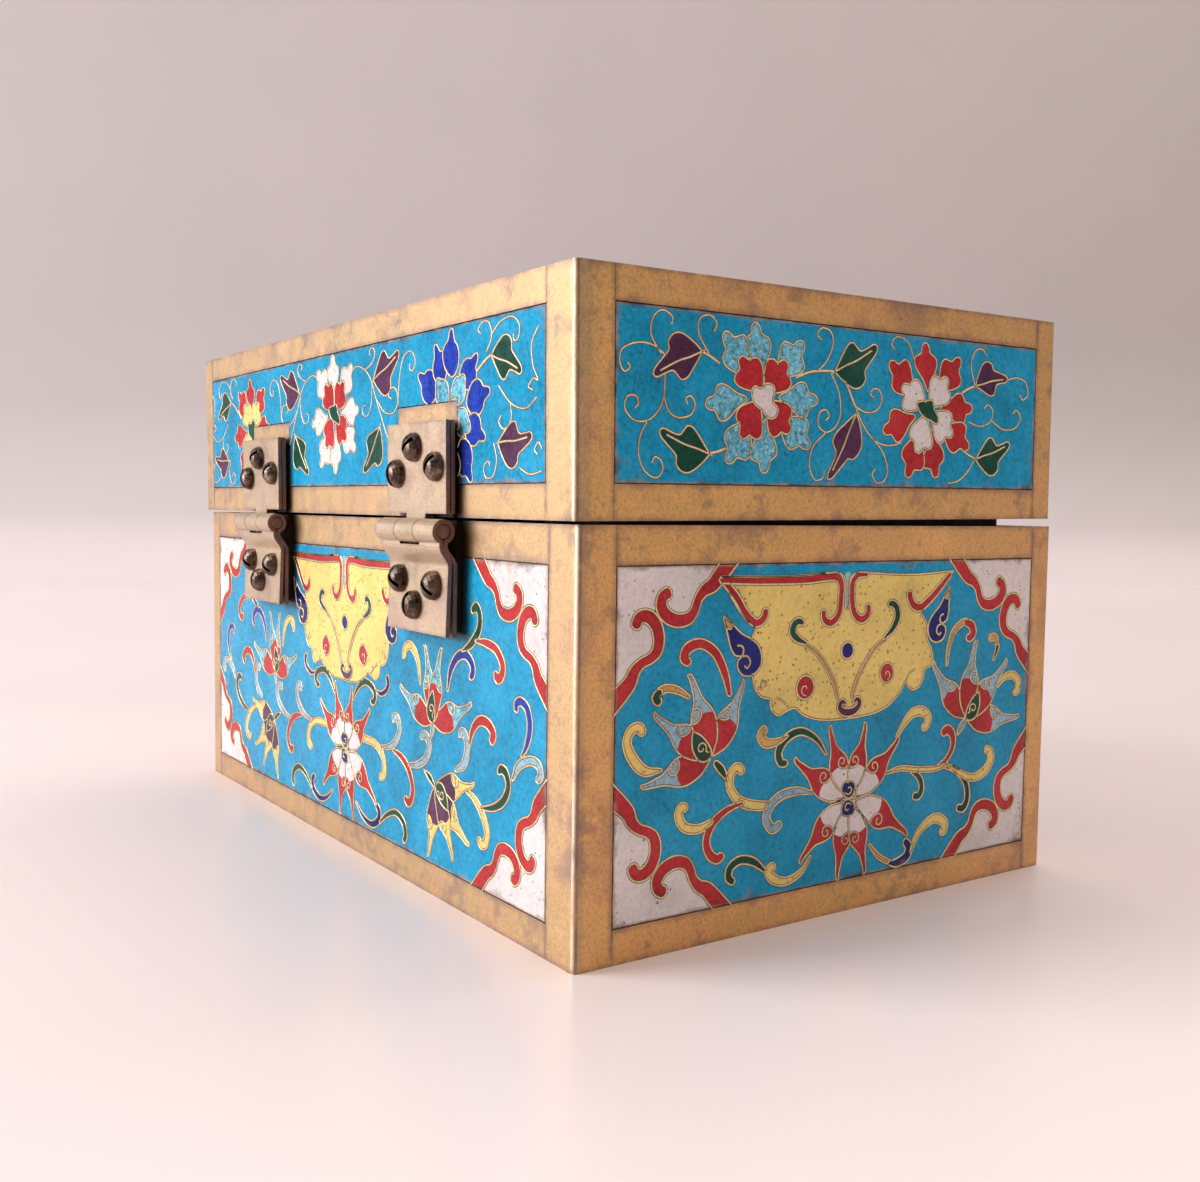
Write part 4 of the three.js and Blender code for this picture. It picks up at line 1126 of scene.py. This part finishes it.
def make_wires(plaque, art, materials):
    """All the cloisons of a plaque, each a low ridge set into the enamel over a thin line of dirt."""
    corners = len(WIRE_PROFILE)
    row = corners + 2  # the points at each step: the ridge's, then the dirt's
    verts, faces, dirt = [], [], []
    for path, width in art.visible_wires():
        first, last = len(verts), len(verts) + row * (len(path) - 1)
        side = width / 2 + SOIL_WIDTH
        for (u, v), (nu, nv) in zip(path, normals(path)):
            verts.extend((u + nu * k * width, v + nv * k * width, z) for k, z in WIRE_PROFILE)
            verts.extend((u + nu * k, v + nv * k, SOIL_RISE) for k in (-side, side))
        for a in range(first, last, row):
            b = a + row
            for k in range(corners):
                after = (k + 1) % corners
                faces.append((a + k, a + after, b + after, b + k))
            dirt.append((a + corners, a + corners + 1, b + corners + 1, b + corners))
        faces.append(tuple(range(first + corners - 1, first - 1, -1)))
        faces.append(tuple(range(last, last + corners)))
    mesh = bpy.data.meshes.new(f"{plaque.node}_wires")
    mesh.from_pydata([plaque.matrix @ Vector(v) for v in verts], [], faces + dirt)
    for material in materials:
        mesh.materials.append(material)
    mesh.polygons.foreach_set("material_index", [0] * len(faces) + [1] * len(dirt))
    mesh.polygons.foreach_set("use_smooth", [True] * len(faces) + [False] * len(dirt))
    wires = link(f"{plaque.node}_wires", mesh)
    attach(wires, plaque.body)


ENDS, LONG_WALLS = ("left", "right"), ("back", "front")
DESIGNS = (
    *(("base", side, base_end_art) for side in ENDS),
    *(("base", side, base_long_art) for side in LONG_WALLS),
    *(("lid", side, lid_end_art) for side in ENDS),
    *(("lid", side, lid_long_art) for side in LONG_WALLS),
    ("lid", "top", top_art),
)


def make_plaques():
    enamels = {name: enamel_material(name) for name in ENAMELS}
    brass = brass_material("cloison_brass", srgb(250, 214, 156), srgb(120, 80, 48), 0.6, 0.34, edge_mm=0)
    wires = (brass, dirt_material())
    for body, side, design in DESIGNS:
        plaque = Plaque(body, side)
        art = design(plaque.outline())
        make_plate(plaque, art, enamels)
        make_wires(plaque, art, wires)


# ---------------------------------------------------------------- the brass
# What a node's name holds, and its kind of metal: the first that fits, or else the frame's.
KINDS = (("_case", "sheet"), ("_lip_", "lip"), ("_screw_", "screw"), ("hinge_", "hinge"))
# Name, colour, tarnish, how strong the stains are and how rough, and what else brass_material takes.
BRASS = {
    "frame": ("old_frame_brass", srgb(236, 166, 70), srgb(126, 70, 38), 0.75, 0.42, {"framing": True}),
    "sheet": ("inner_sheet_brass", srgb(186, 140, 78), srgb(118, 80, 48), 0.6, 0.45, {}),
    "hinge": ("hinge_strap_brass", srgb(196, 156, 116), srgb(140, 86, 56), 0.5, 0.4,
              {"edge_mm": 1.2, "dark_ends": True}),
    # The lip is painted near black as the shade in the gap under the lid.
    "lip": ("shadowed_lip_brass", srgb(26, 18, 13), srgb(14, 9, 7), 0.6, 0.6, {"coat": 0.0}),
}
WORN_MM, NEAT_MM = 0.18, 0.12  # how far the edges are turned over


def dress_metal():
    looks = {kind: brass_material(*look, **more) for kind, (*look, more) in BRASS.items()}
    looks["screw"] = screw_material()
    for name, node in frame["nodes"].items():
        if "_enamel_" in name:
            continue
        kind = next((kind for mark, kind in KINDS if mark in name), "frame")
        node.data.materials.clear()
        node.data.materials.append(looks[kind])
        bevel = node.modifiers.new("worn_edges", "BEVEL")
        bevel.width = (NEAT_MM if kind in ("screw", "sheet") else WORN_MM) * MM
        bevel.segments = 2
        bevel.limit_method = "ANGLE"
        bevel.angle_limit = math.radians(40)


# ---------------------------------------------------------------- the stage
TABLE_END = 0.11  # where the table's painted shade begins, along the camera's heading
NEAR_END, WALL_BASE, WALL_TOP, HALF_WIDTH = -1.6, 1.0, 2.2, 2.4  # metres, on the stage's own axes
SWEEP = 0.25  # radius of the turn from the floor into the wall


def make_stage():
    """A floor that runs up into a wall; its X is the camera's heading."""
    turn = np.linspace(0, math.pi / 2, 12)
    sweep = [(WALL_BASE - SWEEP + SWEEP * math.sin(a), SWEEP - SWEEP * math.cos(a)) for a in turn]
    bm = bmesh.new()
    rows = [[bm.verts.new((out, side, up)) for side in (-HALF_WIDTH, HALF_WIDTH)]
            for out, up in [(NEAR_END, 0.0), *sweep, (WALL_BASE, WALL_TOP)]]
    for a, b in zip(rows, rows[1:]):
        bm.faces.new((a[0], a[1], b[1], b[0])).smooth = True
    mesh = bpy.data.meshes.new("stage")
    bm.to_mesh(mesh)
    bm.free()
    mesh.materials.append(stage_material())
    stage = link("stage", mesh)
    stage.rotation_euler.z = CAMERA_YAW


LIGHTS = {  # place, target, size (all in metres), power in watts and colour
    "window": ((0.60, 1.12, 0.5), (0, 0.05, 0.05), (0.75, 0.9), 19.0, (0.93, 0.99, 1.06)),
    "room": ((-0.9, -0.3, 1.0), (-0.05, 0, 0.05), (1.0, 0.8), 2.2, (1.0, 0.97, 0.95)),
    "sky": ((0.3, 0.9, 1.6), (0, 0.3, 0), (1.2, 1.2), 6.5, (1.0, 0.96, 0.94)),
    "ceiling": ((0.4, -0.9, 1.3), (0.05, -0.15, 0), (1.6, 1.6), 22.0, (1.0, 0.98, 0.97)),
}


def make_lights():
    world = bpy.data.worlds.new("world")
    bpy.context.scene.world = world
    world.use_nodes = True
    colour, strength = world.node_tree.nodes["Background"].inputs[:2]
    colour.default_value = (*srgb(240, 237, 236), 1)
    strength.default_value = 0.40
    for name, (place, target, size, power, colour) in LIGHTS.items():
        data = bpy.data.lights.new(name, "AREA")
        data.shape = "RECTANGLE"
        data.size, data.size_y = size
        data.energy = power
        data.color = colour
        light = link(name, data)
        light.location = place
        light.rotation_euler = (Vector(target) - Vector(place)).to_track_quat("-Z", "Y").to_euler()
    bpy.context.scene.view_settings.view_transform = "Standard"


make_camera()
make_stage()
make_lights()
make_plaques()
dress_metal()
